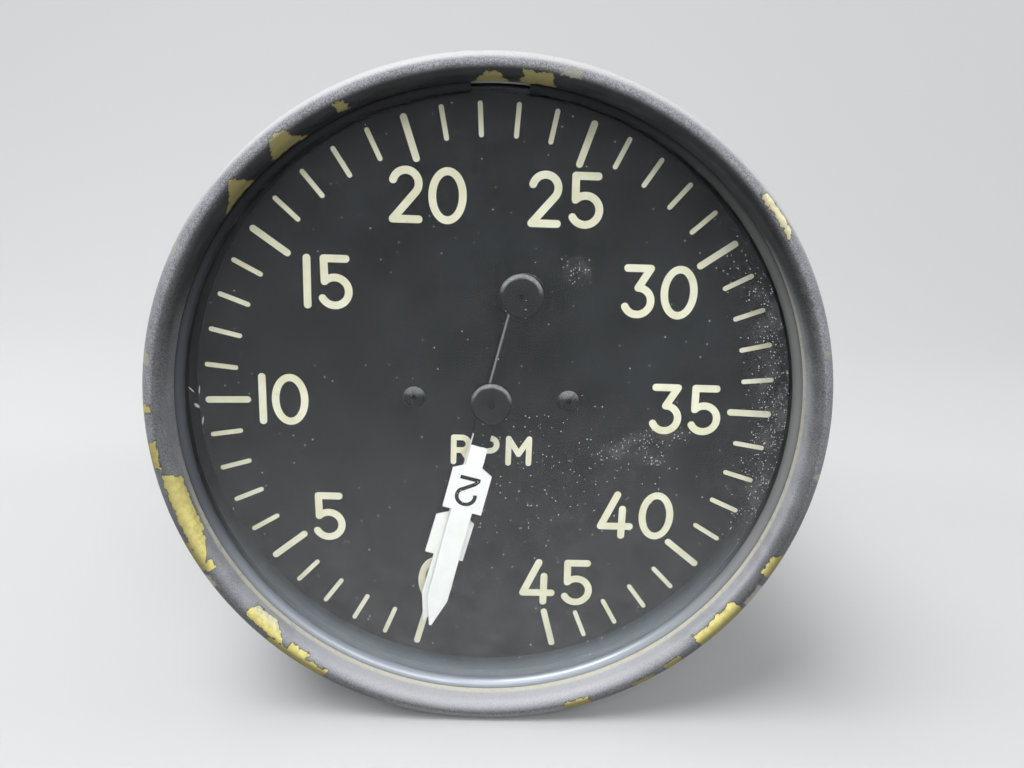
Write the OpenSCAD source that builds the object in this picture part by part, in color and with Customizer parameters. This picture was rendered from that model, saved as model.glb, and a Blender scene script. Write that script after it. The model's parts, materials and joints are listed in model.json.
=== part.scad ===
// Twin-hand electric aircraft tachometer in a round clamp-mounted case.
// Row frame: origin on the case axis in the panel plane, +Z up, the dial faces -Y.
// Each piece is drawn looking at the dial: x right, y up, z out towards the viewer, and face() stands it up.

/* [Bezel and case] */
// Diameter of the barrel behind the panel
barrel_d = 78.8; // [72:0.1:90]
// Length of the barrel behind the panel
barrel_len = 82; // [75:1:100]
// Overhang of the bezel lip past the barrel
lip_over = 1.85; // [1.5:0.05:4]
// Height of the bezel lip in front of the panel
lip_h = 5.8; // [5.2:0.1:8]
// Radius of the rounded lip edge
lip_round = 1.4; // [0.8:0.1:1.6]
// Wall of the case round the front bore that takes dial, spacer and glass
bore_wall = 1.15; // [0.8:0.05:1.6]
// Wall of the barrel behind the dial ledge
barrel_wall = 2.4; // [1.9:0.1:3.4]
// Distance from the panel plane back to the face of the dial
dial_depth = 4; // [3:0.1:5]

/* [Glass] */
// Thickness of the cover glass
glass_t = 1.6; // [1.2:0.1:2]
// Free height between dial and glass for the hands
hand_room = 3.6; // [3.5:0.1:4]
// Wire diameter of the snap ring
snap_wire_d = 1.6; // [1.2:0.1:1.8]
// Gap in the snap ring, in degrees
snap_gap = 10; // [4:1:30]
// Wall of the rolled spacer ring
spacer_wall = 0.4; // [0.3:0.05:0.8]
// Thickness of the rubber ring under the glass
gasket_t = 0.5; // [0.3:0.1:0.8]

/* [Dial] */
// Thickness of the dial
dial_t = 1; // [0.6:0.1:1.6]
// Distance from the edge of the dial to the scale marks
tick_edge = 1.35; // [1:0.05:3]
// Length of the marks at every fifth division
major_len = 5.8; // [5:0.1:6.5]
// Width of the marks at every fifth division
major_w = 0.85; // [0.6:0.05:1]
// Length of the other marks
minor_len = 4.2; // [3:0.1:4.8]
// Width of the other marks
minor_w = 0.6; // [0.4:0.05:0.8]
// Height of the numerals over their strokes
numeral_h = 6.8; // [6:0.1:7]
// Stroke width of the numerals
numeral_w = 0.95; // [0.7:0.05:1.1]
// Sweep of the scale from its first to its last mark, in degrees
scale_sweep = 330; // [300:1:340]
// Distance of the dial screws from the centre
dial_screw_x = 10; // [8:0.5:11]
// Head diameter of the dial screws
dial_screw_head_d = 2.8; // [2.4:0.1:3]

/* [Hands] */
// Length of a hand from the centre to its tip
hand_len = 32.2; // [30:0.1:33]
// Width of a hand's neck
hand_w = 2.2; // [2:0.1:2.6]
// Width of a hand's blade
blade_w = 2.8; // [2:0.1:3.4]
// Width of the flag that carries the engine number
flag_w = 5.2; // [4:0.1:6]
// Length of the flag
flag_len = 6.3; // [5:0.1:6.5]
// Distance from the centre to the flag of hand 1, the rear hand
flag_1_start = 16; // [14:0.1:18]
// Distance from the centre to the flag of hand 2, the front hand
flag_2_start = 8.7; // [7:0.1:9]
// Thickness of a hand's sheet metal
hand_t = 0.4; // [0.3:0.05:0.5]
// Distance from the centre to the counterweight
weight_s = 14.3; // [14:0.1:16]
// Diameter of the counterweight disc
weight_d = 5.4; // [4.5:0.1:5.6]
// Resting angle of hand 1 past six o'clock, clockwise in degrees
hand_1_rest = 15; // [10:0.1:30]
// Resting angle of hand 2 past six o'clock, clockwise in degrees
hand_2_rest = 13.4; // [10:0.1:30]

/* [Movement] */
// Gap between the movement plates and the barrel
plate_gap = 0.8; // [0.5:0.1:1.5]
// Distance from the edge of the plates to the motor cans
can_edge = 1; // [0.6:0.1:2]
// Gap between the two motor cans
can_gap = 1.6; // [1:0.1:3]
// Thickness of the front and middle plates
plate_t = 2; // [1.6:0.1:2.4]
// Thickness of the two motor plates
motor_plate_t = 3; // [2.5:0.1:3.5]
// Length of the posts between dial and front plate
post_len = 3; // [2.6:0.1:4]
// Space between front and middle plate for the gears
gear_bay = 12; // [12:0.1:14]
// Space between middle plate and motor plate for the drag cups
cup_bay = 14; // [13:0.1:16]
// Space between the motor plates
motor_bay = 20; // [19:0.1:22]
// Diameter of the pointer shaft of hand 2
shaft_d = 2; // [1.6:0.1:2]
// Outer diameter of the hollow pointer sleeve of hand 1
sleeve_d = 3.2; // [3:0.1:3.4]
// Diameter of the drag cup arbors
arbor_d = 1.6; // [1.2:0.1:2]
// Teeth on every gear
gear_teeth = 36; // [30:2:40]
// Face width of the gears
gear_face = 1.5; // [1:0.1:1.6]
// Radial gap between a magnet and its drag cup
magnet_air = 1; // [0.6:0.05:1.5]
// Wall of the drag cups
cup_wall = 0.6; // [0.4:0.05:0.8]
// Radial gap between a drag cup and its keeper ring
keeper_air = 0.8; // [0.5:0.05:1.2]
// Wall of the keeper rings
keeper_wall = 2.2; // [1.5:0.1:2.4]
// Wall of the motor cans
can_wall = 0.8; // [0.6:0.05:1.2]
// Space for the end windings at each end of a core
end_room = 4; // [3:0.1:5]
// Radial depth of the stator cores
core_wall = 6.8; // [5:0.1:8]
// Radial gap between a rotor and its core
air_gap = 0.4; // [0.3:0.05:0.6]
// Diameter of the motor shafts
motor_shaft_d = 3; // [2.5:0.1:3.4]
// Outer diameter of the ball bearings
bearing_d = 9; // [8:0.1:10]
// Turns of each hairspring
spring_turns = 5; // [3:1:6]
// Sideways distance of the pillars from the axis
pillar_x = 14; // [12:0.5:15]
// Distance from the edge of the plates to the pillars' axes
pillar_edge = 4.9; // [4:0.1:7]
// Diameter of the pillars and spacers
pillar_d = 5.2; // [4.5:0.1:5.6]
// Diameter of the tie rods
tie_rod_d = 2.8; // [2.2:0.1:3]

/* [Rear cover and connectors] */
// Thickness of the rear cover's rim
cover_t = 2.5; // [2:0.1:3.5]
// Length of the cover's spigot inside the barrel
spigot_len = 3; // [2:0.1:4]
// Distance of each connector from the instrument axis
connector_x = 16; // [14:0.1:17]
// Side of a connector's square flange
flange_side = 25.4; // [24:0.1:26]
// Thickness of a connector's flange
flange_t = 2; // [1.6:0.1:2.6]
// Spacing of the screws in a connector's flange
flange_pitch = 18.26; // [17.6:0.01:18.6]
// Diameter over a connector's threaded shell
shell_d = 15.875; // [15:0.005:16.4]
// Length of a connector's shell behind its flange
shell_len = 15.5; // [14:0.1:18]
// Bore of a connector's shell
shell_bore_d = 12.8; // [12:0.1:13]
// Diameter of a contact pin
pin_d = 1.6; // [1.2:0.1:1.8]
// Diameter of the circle through the contact pins
pin_circle_d = 6.4; // [5.6:0.1:7]

/* [Hidden] */
$fn = 96;
fit = 0.05;            // running and assembly clearance of round fits
slip = 0.1;            // clearance of rings and discs that slide into a bore
paint_t = 0.08;        // thickness of dial paint

// Levels along the axis, counted from the panel plane towards the viewer
z_dial = -dial_depth;
z_dial_back = z_dial - dial_t;
z_glass = z_dial + hand_room;
z_glass_front = z_glass + glass_t;
z_wire = z_glass_front + snap_wire_d / 2;
lip_land = 0.5;
z_lip_edge = z_glass_front + snap_wire_d + lip_land;
z_front_plate = z_dial_back - post_len;
z_front_plate_back = z_front_plate - plate_t;
z_middle_plate = z_front_plate_back - gear_bay;
z_middle_plate_back = z_middle_plate - plate_t;
z_motor_front = z_middle_plate_back - cup_bay;
z_motor_front_back = z_motor_front - motor_plate_t;
z_motor_rear = z_motor_front_back - motor_bay;
z_motor_rear_back = z_motor_rear - motor_plate_t;
z_barrel_end = -barrel_len;
z_cover_front = z_barrel_end + spigot_len;
gasket_rear_t = 0.5;
z_cover_seat = z_barrel_end - gasket_rear_t;
z_cover_back = z_cover_seat - cover_t;
cover_inset = 0.2;     // how far the cover's rim lies inside the barrel's outside

// Radii of the case
barrel_r = barrel_d / 2;
bezel_r = barrel_r + lip_over;
bore_r = barrel_r - bore_wall;
inner_r = barrel_r - barrel_wall;
disc_r = bore_r - slip;        // dial, spacer, gasket and glass
lip_chamfer = 0.4;
wire_inset = 0.15;     // the wire's centre line lies this far inside the bore
wire_r = bore_r - wire_inset;
spacer_r = disc_r - spacer_wall;

// Scale of the dial: angles run clockwise from six o'clock
scale_divisions = 45;
scale_start = (360 - scale_sweep) / 2;
label_step = 5;
tick_r = disc_r - tick_edge;
label_end = 10;
label_five = 9.6;
label_side = 11.4;
label_top = 9.9;
label_shift = 2.7;
// Each label's value, its distance inside the ends of the marks, and its shift to the right
LABELS = [
    [0, label_end, 0], [5, label_five, 0], [10, label_end, 0], [15, label_side, 0], [20, label_top, 0],
    [25, label_top, 0], [30, label_side, 0], [35, label_side, 0], [40, label_side, 0],
    [45, label_end, label_shift]
];
numeral_gap = 0.7;     // space between the two numerals of a label
unit_drop = 7;         // distance of the unit's letters below the centre
unit_h = 4.1;
unit_w = 0.75;
letter_pitch = 3.7;
letter_stem = 0.2;     // how far a letter's stem stands out to the left of its bowl
letter_m_half = 1.35;
letter_nudge = 0.1;
leg_reach = 1.1;       // how far the leg of R runs to the right of its start

// Hands: heights above the dial
hand_1_lift = 1.3;
hand_2_lift = 2.2;
hand_1_z = z_dial + hand_1_lift;
hand_2_z = z_dial + hand_2_lift;
weight_t = 0.45;
hub_r = 2.65;
hub_neck_r = 2.1;
hub_t = 0.45;
cap_t = 0.6;
cap_hole_r = 0.3;
dial_screw_head_t = 0.7;
dial_screw_d = 2.1;
post_r = 2.2;
flag_shoulder = 0.8;   // length over which the neck widens to the flag
hand_tip_len = 4;      // length of the tapered tip
hand_tip_w = 0.3;
tail_w = 2;

// Two motor units side by side inside the barrel
plate_r = inner_r - plate_gap;
can_r = (plate_r - can_edge - can_gap / 2) / 2;
unit_x = can_r + can_gap / 2;

// Gear train
gear_module = 2 * unit_x / (2 * gear_teeth);
backlash = 0.35;       // degrees taken off each flank
gear_hub_r = 3;
cup_hub_r = 2.2;
gear_gap = 2;          // free space between the front plate and the first gear
gear_1_z = z_front_plate_back - gear_gap - gear_face;
gear_step = 3.1;       // free space between the two pairs of gears
gear_2_z = gear_1_z - gear_face - gear_step;
gear_hub_up = 0.9;     // how far a pointer gear's hub stands in front of its teeth
gear_hub_down = 1.2;
cup_gear_up = 0.6;
cup_gear_down = 0.4;   // how far a cup gear's hub reaches past its spring
sleeve_end = gear_1_z - gear_hub_down;
shaft_gear_end = gear_2_z - gear_hub_down;
bush_r = 3;
bush_lip = 0.5;
arbor_bush_r = 1.9;
arbor_inset = 0.3;     // how far an arbor or shaft ends inside its bush

// Hairsprings, on the cup gears' hubs in front of the middle plate
spring_strip = 0.2;
spring_h = 0.6;
spring_pitch = 0.9;
spring_lift = 1.4;     // height of the springs over the middle plate
spring_z = z_middle_plate + spring_lift;
spring_in_r = cup_hub_r + slip;
spring_out_r = spring_in_r + spring_pitch * spring_turns;
stud_r = 0.8;
stud_over = 0.3;       // how far a stud stands past its spring

// Drag cups, magnets and keepers
cup_gap = 0.7;         // free space between the middle plate and a cup's hub
cup_hub_len = 1.2;
cup_end_t = 0.8;
cup_mouth_gap = 1.5;   // free space between a cup's mouth and the motor plate
z_cup = z_middle_plate_back - cup_gap - cup_hub_len;
z_cup_mouth = z_motor_front + cup_mouth_gap;
magnet_gap = 1.4;      // free space between a magnet and the end of its cup
z_magnet = z_cup - cup_end_t - magnet_gap;
magnet_foot = 1;       // free space between a magnet and the motor plate
magnet_len = z_magnet - z_motor_front - magnet_foot;
keeper_inset = 0.6;    // how far a keeper ring lies inside its motor can's outside
keeper_bore_r = can_r - keeper_inset - keeper_wall;
keeper_short = 3;      // free space between a keeper ring and the middle plate
keeper_len = cup_bay - keeper_short;
cup_r = keeper_bore_r - keeper_air;
magnet_r = cup_r - cup_wall - magnet_air;

// Motors
can_bore_r = can_r - can_wall;
stator_bore_r = can_bore_r - core_wall;
rotor_r = stator_bore_r - air_gap;
core_len = motor_bay - 2 * end_room;
z_core = z_motor_front_back - end_room;
winding_gap = 0.6;     // free space between an end winding and its motor plate
winding_r = (end_room - winding_gap) / 2;
winding_mid_r = (can_bore_r + stator_bore_r) / 2;
slots = 12;
slot_w = 2;
slot_depth = 3;

// Rods, pillars and screws
pillar_y = sqrt(pow(plate_r - pillar_edge, 2) - pow(pillar_x, 2));
pillar_places = [for (sx = [-1, 1], sy = [-1, 1]) [sx * pillar_x, sy * pillar_y]];
rod_head_d = 4.6;
rod_head_t = 1.2;
rear_screw_d = 2.8;
rear_screw_head_d = 5;
rear_screw_head_t = 1.6;
tap_spare = 0.5;       // depth of a tapped hole past its screw
pillar_web = 2;        // solid length between the two tapped holes of a rear pillar
pillar_len = z_motor_rear_back - z_cover_front;
thread_in = (pillar_len - pillar_web) / 2 - tap_spare;
slot_cut_w = 0.6;      // width of a screwdriver slot
slot_cut_t = 0.4;      // depth of a screwdriver slot

// Connectors
flange_screw_d = 2.6;
flange_head_d = 4.4;
flange_head_t = 1.4;
flange_corner_r = 1.5;
shell_tail_len = 4;    // length of the shell in front of its flange, inside the case
shell_chamfer = 0.6;
insert_back = 6.5;     // depth of the insert's face below the shell's mouth
pin_short = 5;         // depth of the pins' ends below the shell's mouth
solder_cup = 3;        // length of the pins inside the case
z_flange = z_cover_back;
z_flange_back = z_flange - flange_t;
z_shell_end = z_flange_back - shell_len;
z_shell_front = z_flange + shell_tail_len;
flange_screw_len = z_cover_front - z_flange_back;

// Stands a piece drawn looking at the dial up in the row frame
module face() rotate([90, 0, 0]) children();

// A round disc or tube between two levels
module ring(z0, z1, r, bore = 0) {
    difference() {
        translate([0, 0, min(z0, z1)]) cylinder(r = r, h = abs(z1 - z0));
        if (bore > 0) translate([0, 0, min(z0, z1) - 1]) cylinder(r = bore, h = abs(z1 - z0) + 2);
    }
}

// A hole to take away between two levels, open at both ends
module hole(z0, z1, r) {
    translate([0, 0, min(z0, z1) - 1]) cylinder(r = r, h = abs(z1 - z0) + 2);
}

// Turns children from twelve o'clock to an angle clockwise from six o'clock
module clock(a) rotate([0, 0, 180 - a]) children();

// A slotted screw whose head sits on level z and points towards the viewer (up = 1) or away (up = -1)
module screw(z, head_d, head_t, d, len, up) {
    translate([0, 0, z]) mirror([0, 0, up > 0 ? 0 : 1]) {
        difference() {
            cylinder(d = head_d, h = head_t);
            translate([-head_d, -slot_cut_w / 2, head_t - slot_cut_t])
                cube([2 * head_d, slot_cut_w, slot_cut_t + 1]);
        }
        translate([0, 0, -len]) cylinder(d = d, h = len);
    }
}

// Bezel lip and barrel in one casting
lip_c = [bezel_r - lip_round, lip_h - lip_round];
lip_e = [bore_r, z_lip_edge];
lip_dist = norm(lip_c - lip_e);
lip_dir = atan2(lip_c.y - lip_e.y, lip_c.x - lip_e.x) + asin(lip_round / lip_dist);
lip_steps = 12;
lip_arc = [for (i = [0 : lip_steps]) let (a = (lip_dir + 90) * (1 - i / lip_steps))
    lip_c + lip_round * [cos(a), sin(a)]];

module case() {
    color("#23262b") face() difference() {
        rotate_extrude() polygon(concat(lip_arc, [
            [bezel_r, lip_chamfer], [bezel_r - lip_chamfer, 0], [barrel_r, 0], [barrel_r, z_barrel_end],
            [inner_r, z_barrel_end], [inner_r, z_dial_back], [bore_r, z_dial_back], lip_e
        ]));
        rotate_extrude() translate([wire_r, z_wire]) circle(d = snap_wire_d + 2 * fit);
    }
}

module snap_ring() {
    color("#2b313b") face() rotate([0, 0, 90 + snap_gap / 2]) rotate_extrude(angle = 360 - snap_gap)
        translate([wire_r, z_wire]) circle(d = snap_wire_d, $fn = 32);
}

module glass() {
    color("#cfe0e6", 0.35) face() ring(z_glass, z_glass_front, disc_r);
}

module glass_gasket() {
    color("#15171a") face() ring(z_glass - gasket_t, z_glass, disc_r, spacer_r);
}

module spacer_ring() {
    color("#2b3038") face() ring(z_dial, z_glass - gasket_t, disc_r, spacer_r);
}

module dial() {
    color("#141518") face() difference() {
        ring(z_dial_back, z_dial, disc_r, hub_neck_r);
        for (s = [-1, 1]) translate([s * dial_screw_x, 0, 0])
            hole(z_dial_back, z_dial, dial_screw_d / 2 + fit);
    }
}

// Painted strokes with round ends, laid on the dial
module bar(p, q, w) {
    v = q - p;
    translate([p.x, p.y, 0]) {
        rotate([0, 0, atan2(v.y, v.x)]) translate([0, -w / 2, 0]) cube([norm(v), w, paint_t]);
        cylinder(d = w, h = paint_t);
    }
    translate([q.x, q.y, 0]) cylinder(d = w, h = paint_t);
}

module bow(c, r, a0, a1, w) {
    translate([c.x, c.y, 0]) {
        rotate([0, 0, a0]) rotate_extrude(angle = a1 - a0) translate([r - w / 2, 0]) square([w, paint_t]);
        for (a = [a0, a1]) translate([r * cos(a), r * sin(a), 0]) cylinder(d = w, h = paint_t);
    }
}

// An ellipse drawn as one outline
function ellipse(a, b, n) = [for (i = [0 : n - 1]) [a * cos(i * 360 / n), b * sin(i * 360 / n)]];

module oval(a, b, w) {
    linear_extrude(paint_t) difference() {
        polygon(ellipse(a + w / 2, b + w / 2, 40));
        polygon(ellipse(a - w / 2, b - w / 2, 40));
    }
}

// Half the height of a numeral, and half the width of each one, along the stroke centres
nb = (numeral_h - numeral_w) / 2;
na = nb * [0.64, 0, 0.54, 0.58, 0.67, 0.6];

module numeral(n) {
    w = numeral_w;
    a = na[n];
    bowl_c = [0, a - nb];  // centre of the lower bowl of 3 and 5
    if (n == 0) oval(a, nb, w);
    if (n == 1) bar([0, -nb], [0, nb], w);
    if (n == 2) {
        bow([0, nb - a], a, -38, 165, w);
        bar([a * cos(-38), nb - a + a * sin(-38)], [-a, -nb], w);
        bar([-a, -nb], [a, -nb], w);
    }
    if (n == 3) {
        bar([-0.85 * a, nb], [0.85 * a, nb], w);
        bar([0.85 * a, nb], [0, bowl_c.y + a], w);
        bow(bowl_c, a, -155, 90, w);
    }
    if (n == 4) {
        bar([0.05 * a, nb], [-a, -0.55 * nb], w);
        bar([-a, -0.55 * nb], [a, -0.55 * nb], w);
        bar([0.45 * a, 0.3 * nb], [0.45 * a, -nb], w);
    }
    if (n == 5) {
        bar([-0.75 * a, nb], [0.8 * a, nb], w);
        bar([-0.75 * a, nb], [a * cos(135), bowl_c.y + a * sin(135)], w);
        bow(bowl_c, a, -150, 135, w);
    }
}

function numeral_width(n) = 2 * na[n] + numeral_w;

module label(n) {
    tens = floor(n / 10);
    ones = n % 10;
    if (n < 10) numeral(ones);
    else {
        total = numeral_width(tens) + numeral_gap + numeral_width(ones);
        translate([(numeral_width(tens) - total) / 2, 0, 0]) numeral(tens);
        translate([(total - numeral_width(ones)) / 2, 0, 0]) numeral(ones);
    }
}

// The unit's three letters, R P M
module unit_letters() {
    b = (unit_h - unit_w) / 2;
    bowl = 0.52 * b;
    for (x = [-letter_pitch, 0]) translate([x - bowl, 0, 0]) {
        bar([-letter_stem, -b], [-letter_stem, b], unit_w);
        bar([-letter_stem, b], [bowl, b], unit_w);
        bar([-letter_stem, b - 2 * bowl], [bowl, b - 2 * bowl], unit_w);
        bow([bowl, b - bowl], bowl, -90, 90, unit_w);
    }
    bar([letter_nudge - letter_pitch, b - 2 * bowl], [leg_reach - letter_pitch, -b], unit_w);
    translate([letter_pitch + letter_nudge, 0, 0]) for (s = [-1, 1]) {
        bar([s * letter_m_half, -b], [s * letter_m_half, b], unit_w);
        bar([s * letter_m_half, b], [0, -0.25 * b], unit_w);
    }
}

module dial_scale() {
    color("#e8e2c8") face() translate([0, 0, z_dial]) {
        for (k = [0 : scale_divisions]) clock(scale_start + k * scale_sweep / scale_divisions) {
            len = k % label_step == 0 ? major_len : minor_len;
            w = k % label_step == 0 ? major_w : minor_w;
            bar([0, tick_r - len + w / 2], [0, tick_r - w / 2], w);
        }
        for (l = LABELS) {
            a = scale_start + l[0] * scale_sweep / scale_divisions;
            r = tick_r - l[1];
            translate([-r * sin(a) + l[2], -r * cos(a), 0]) label(l[0]);
        }
        translate([0, -unit_drop, 0]) unit_letters();
    }
}

module dial_screws() {
    color("#1b1c1f") face() for (s = [-1, 1]) translate([s * dial_screw_x, 0, 0])
        screw(z_dial, dial_screw_head_d, dial_screw_head_t, dial_screw_d, dial_t + post_len + plate_t, 1);
}

module dial_posts() {
    color("#b59a5b") face() for (s = [-1, 1]) translate([s * dial_screw_x, 0, 0])
        ring(z_front_plate, z_dial_back, post_r, dial_screw_d / 2 + fit);
}

// Hands: drawn pointing at twelve o'clock, then turned to rest
module hand_plate(flag_start) {
    flag_end = flag_start + flag_len;
    half = [
        [hand_w / 2, 0], [hand_w / 2, flag_start],
        [flag_w / 2, flag_start + flag_shoulder], [flag_w / 2, flag_end],
        [blade_w / 2, flag_end], [blade_w / 2, hand_len - hand_tip_len], [hand_tip_w / 2, hand_len]
    ];
    left = [for (i = [len(half) - 1 : -1 : 0]) [-half[i].x, half[i].y]];
    difference() {
        union() {
            linear_extrude(hand_t) polygon(concat(half, left));
            translate([-tail_w / 2, -weight_s, 0]) cube([tail_w, weight_s, hand_t]);
            cylinder(r = hub_r, h = hand_t);
            translate([0, -weight_s, 0]) cylinder(d = weight_d, h = hand_t);
        }
        hole(0, hand_t, hub_neck_r);
    }
}

module hand_1() {
    color("#f4f2ea") face() clock(hand_1_rest) translate([0, 0, hand_1_z]) hand_plate(flag_1_start);
}

module hand_2() {
    color("#f4f2ea") face() clock(hand_2_rest) translate([0, 0, hand_2_z]) hand_plate(flag_2_start);
}

// Flanged bush that carries hand 1 on the sleeve
module hand_1_hub() {
    color("#1b1c1f") face() difference() {
        union() {
            ring(hand_1_z - hub_t, hand_1_z, hub_r);
            ring(hand_1_z - hub_t, hand_1_z + hand_t, hub_neck_r);
        }
        hole(hand_1_z - hub_t, hand_1_z + hand_t, sleeve_d / 2);
    }
}

// Cap that carries hand 2 on the shaft, with a centre hole in its face
module hand_2_hub() {
    color("#1b1c1f") face() difference() {
        union() {
            ring(hand_2_z + hand_t, hand_2_z + hand_t + cap_t, hub_r);
            ring(hand_2_z, hand_2_z + hand_t + cap_t, hub_neck_r);
        }
        ring(hand_2_z - 1, hand_2_z + hand_t, shaft_d / 2);
        hole(hand_2_z, hand_2_z + hand_t + cap_t, cap_hole_r);
    }
}

module hand_1_weight() {
    color("#1b1c1f") face() clock(hand_1_rest) translate([0, -weight_s, 0])
        ring(hand_1_z - weight_t, hand_1_z, weight_d / 2);
}

module hand_2_weight() {
    color("#1b1c1f") face() clock(hand_2_rest) translate([0, -weight_s, 0])
        ring(hand_2_z + hand_t, hand_2_z + hand_t + weight_t, weight_d / 2);
}

module pointer_sleeve() {
    color("#9a9da3") face() ring(sleeve_end, hand_1_z + hand_t, sleeve_d / 2, shaft_d / 2 + fit);
}

module pointer_shaft() {
    color("#b4b7bd") face() ring(z_middle_plate_back + arbor_inset, hand_2_z + hand_t, shaft_d / 2);
}

// Involute gear, drawn as one outline
function involute(rb, t) = rb * [cos(t) + t * PI / 180 * sin(t), sin(t) - t * PI / 180 * cos(t)];
function turned(p, a) = [p.x * cos(a) - p.y * sin(a), p.x * sin(a) + p.y * cos(a)];
pressure = 20;
gear_pitch_r = gear_module * gear_teeth / 2;
gear_base_r = gear_pitch_r * cos(pressure);
gear_tip_r = gear_pitch_r + 0.95 * gear_module;
gear_root_r = gear_pitch_r - 1.2 * gear_module;
flank_end = sqrt(pow(gear_tip_r / gear_base_r, 2) - 1) * 180 / PI;
flank_steps = 3;
tooth_half = 90 / gear_teeth - backlash + tan(pressure) * 180 / PI - pressure;
tooth_flank = [for (i = [0 : flank_steps])
    turned(involute(gear_base_r, flank_end * i / flank_steps), -tooth_half)];
tooth = concat(
    [turned([gear_root_r, 0], -tooth_half)], tooth_flank,
    [for (i = [flank_steps : -1 : 0]) [tooth_flank[i].x, -tooth_flank[i].y]],
    [turned([gear_root_r, 0], tooth_half)]
);

module gear(z, bore_d, hub, hub_top, hub_bottom, phase) {
    difference() {
        union() {
            translate([0, 0, z]) linear_extrude(gear_face)
                polygon([for (k = [0 : gear_teeth - 1], p = tooth) turned(p, phase + k * 360 / gear_teeth)]);
            ring(hub_bottom, hub_top, hub);
        }
        hole(hub_bottom, hub_top, bore_d / 2);
    }
}

module hand_1_gear() {
    color("#c2a25a") face()
        gear(gear_1_z, sleeve_d, gear_hub_r, gear_1_z + gear_face + gear_hub_up, sleeve_end, 0);
}

module hand_2_gear() {
    color("#c2a25a") face()
        gear(gear_2_z, shaft_d, gear_hub_r, gear_2_z + gear_face + gear_hub_up, shaft_gear_end, 0);
}

// The two units stand left (1) and right (2) of the axis
function unit_place(i) = [(i == 1 ? -1 : 1) * unit_x, 0, 0];

module cup_gear(i) {
    z = i == 1 ? gear_1_z : gear_2_z;
    phase = gear_teeth % 2 == 0 ? 180 / gear_teeth : 0;
    color("#c2a25a") face() translate(unit_place(i))
        gear(z, arbor_d, cup_hub_r, z + gear_face + cup_gear_up, spring_z - cup_gear_down, phase);
}

module cup_arbor(i) {
    color("#b4b7bd") face() translate(unit_place(i))
        ring(z_cup - cup_end_t, z_front_plate - arbor_inset, arbor_d / 2);
}

module drag_cup(i) {
    color("#c9ccd0") face() translate(unit_place(i)) difference() {
        union() {
            ring(z_cup, z_cup + cup_hub_len, cup_hub_r);
            ring(z_cup_mouth, z_cup, cup_r);
        }
        ring(z_cup_mouth - 1, z_cup - cup_end_t, cup_r - cup_wall);
        hole(z_cup_mouth, z_cup + cup_hub_len, arbor_d / 2);
    }
}

// Flat spiral spring: the strip's two sides are one outline
spring_steps = 24;
spring_n = spring_turns * spring_steps;
function spring_point(i, side) =
    let (a = i * 360 / spring_steps, r = spring_in_r + spring_pitch * i / spring_steps + side)
    r * [cos(a), sin(a)];

module hairspring(i) {
    color("#7c8fb0") face() translate(unit_place(i)) translate([0, 0, spring_z]) linear_extrude(spring_h)
        polygon(concat(
            [for (k = [0 : spring_n]) spring_point(k, 0)],
            [for (k = [spring_n : -1 : 0]) spring_point(k, spring_strip)]
        ));
}

module hairspring_studs() {
    color("#c2a25a") face() for (i = [1, 2]) translate(unit_place(i))
        translate([spring_out_r + spring_strip + stud_r + fit, 0, 0])
            ring(z_middle_plate, spring_z + spring_h + stud_over, stud_r);
}

module plate(z_back, t, r) {
    difference() {
        ring(z_back, z_back + t, r);
        for (p = pillar_places) translate([p.x, p.y, 0]) hole(z_back, z_back + t, tie_rod_d / 2 + fit);
        children();
    }
}

module front_plate() {
    color("#b59a5b") face() plate(z_front_plate_back, plate_t, plate_r) {
        hole(z_front_plate_back, z_front_plate, bush_r);
        for (i = [1, 2]) translate(unit_place(i)) hole(z_front_plate_back, z_front_plate, arbor_bush_r);
        for (s = [-1, 1]) translate([s * dial_screw_x, 0, 0])
            hole(z_front_plate_back, z_front_plate, dial_screw_d / 2 + fit);
    }
}

module middle_plate() {
    color("#b59a5b") face() plate(z_middle_plate_back, plate_t, plate_r) {
        hole(z_middle_plate_back, z_middle_plate, bush_r);
        for (i = [1, 2]) translate(unit_place(i)) hole(z_middle_plate_back, z_middle_plate, arbor_bush_r);
    }
}

// Bushes for the pointer sleeve in the front plate and for the pointer shaft in the middle plate
module pointer_bushes() {
    color("#8c6a3a") face() {
        ring(z_front_plate_back - bush_lip, z_front_plate + bush_lip, bush_r, sleeve_d / 2 + fit);
        ring(z_middle_plate_back, z_middle_plate + bush_lip, bush_r, shaft_d / 2 + fit);
    }
}

module arbor_bushes() {
    color("#8c6a3a") face() for (i = [1, 2], z = [z_front_plate_back, z_middle_plate_back])
        translate(unit_place(i)) ring(z, z + plate_t, arbor_bush_r, arbor_d / 2 + fit);
}

module keeper_rings() {
    color("#6f7278") face() for (i = [1, 2]) translate(unit_place(i))
        ring(z_motor_front, z_motor_front + keeper_len, keeper_bore_r + keeper_wall, keeper_bore_r);
}

// Both motor plates hold a bearing for each motor shaft
module motor_plate(z_back) {
    color("#9b9ea4") face() plate(z_back, motor_plate_t, plate_r)
        for (i = [1, 2]) translate(unit_place(i)) hole(z_back, z_back + motor_plate_t, bearing_d / 2);
}

module motor_front_plate() motor_plate(z_motor_front_back);
module motor_rear_plate() motor_plate(z_motor_rear_back);

module motor_bearings() {
    color("#c9ccd0") face() for (i = [1, 2], z = [z_motor_front_back, z_motor_rear_back])
        translate(unit_place(i)) ring(z, z + motor_plate_t, bearing_d / 2, motor_shaft_d / 2 + fit);
}

module motor_can(i) {
    color("#4b4e55") face() translate(unit_place(i))
        ring(z_motor_rear, z_motor_front_back, can_r, can_bore_r);
}

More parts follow.
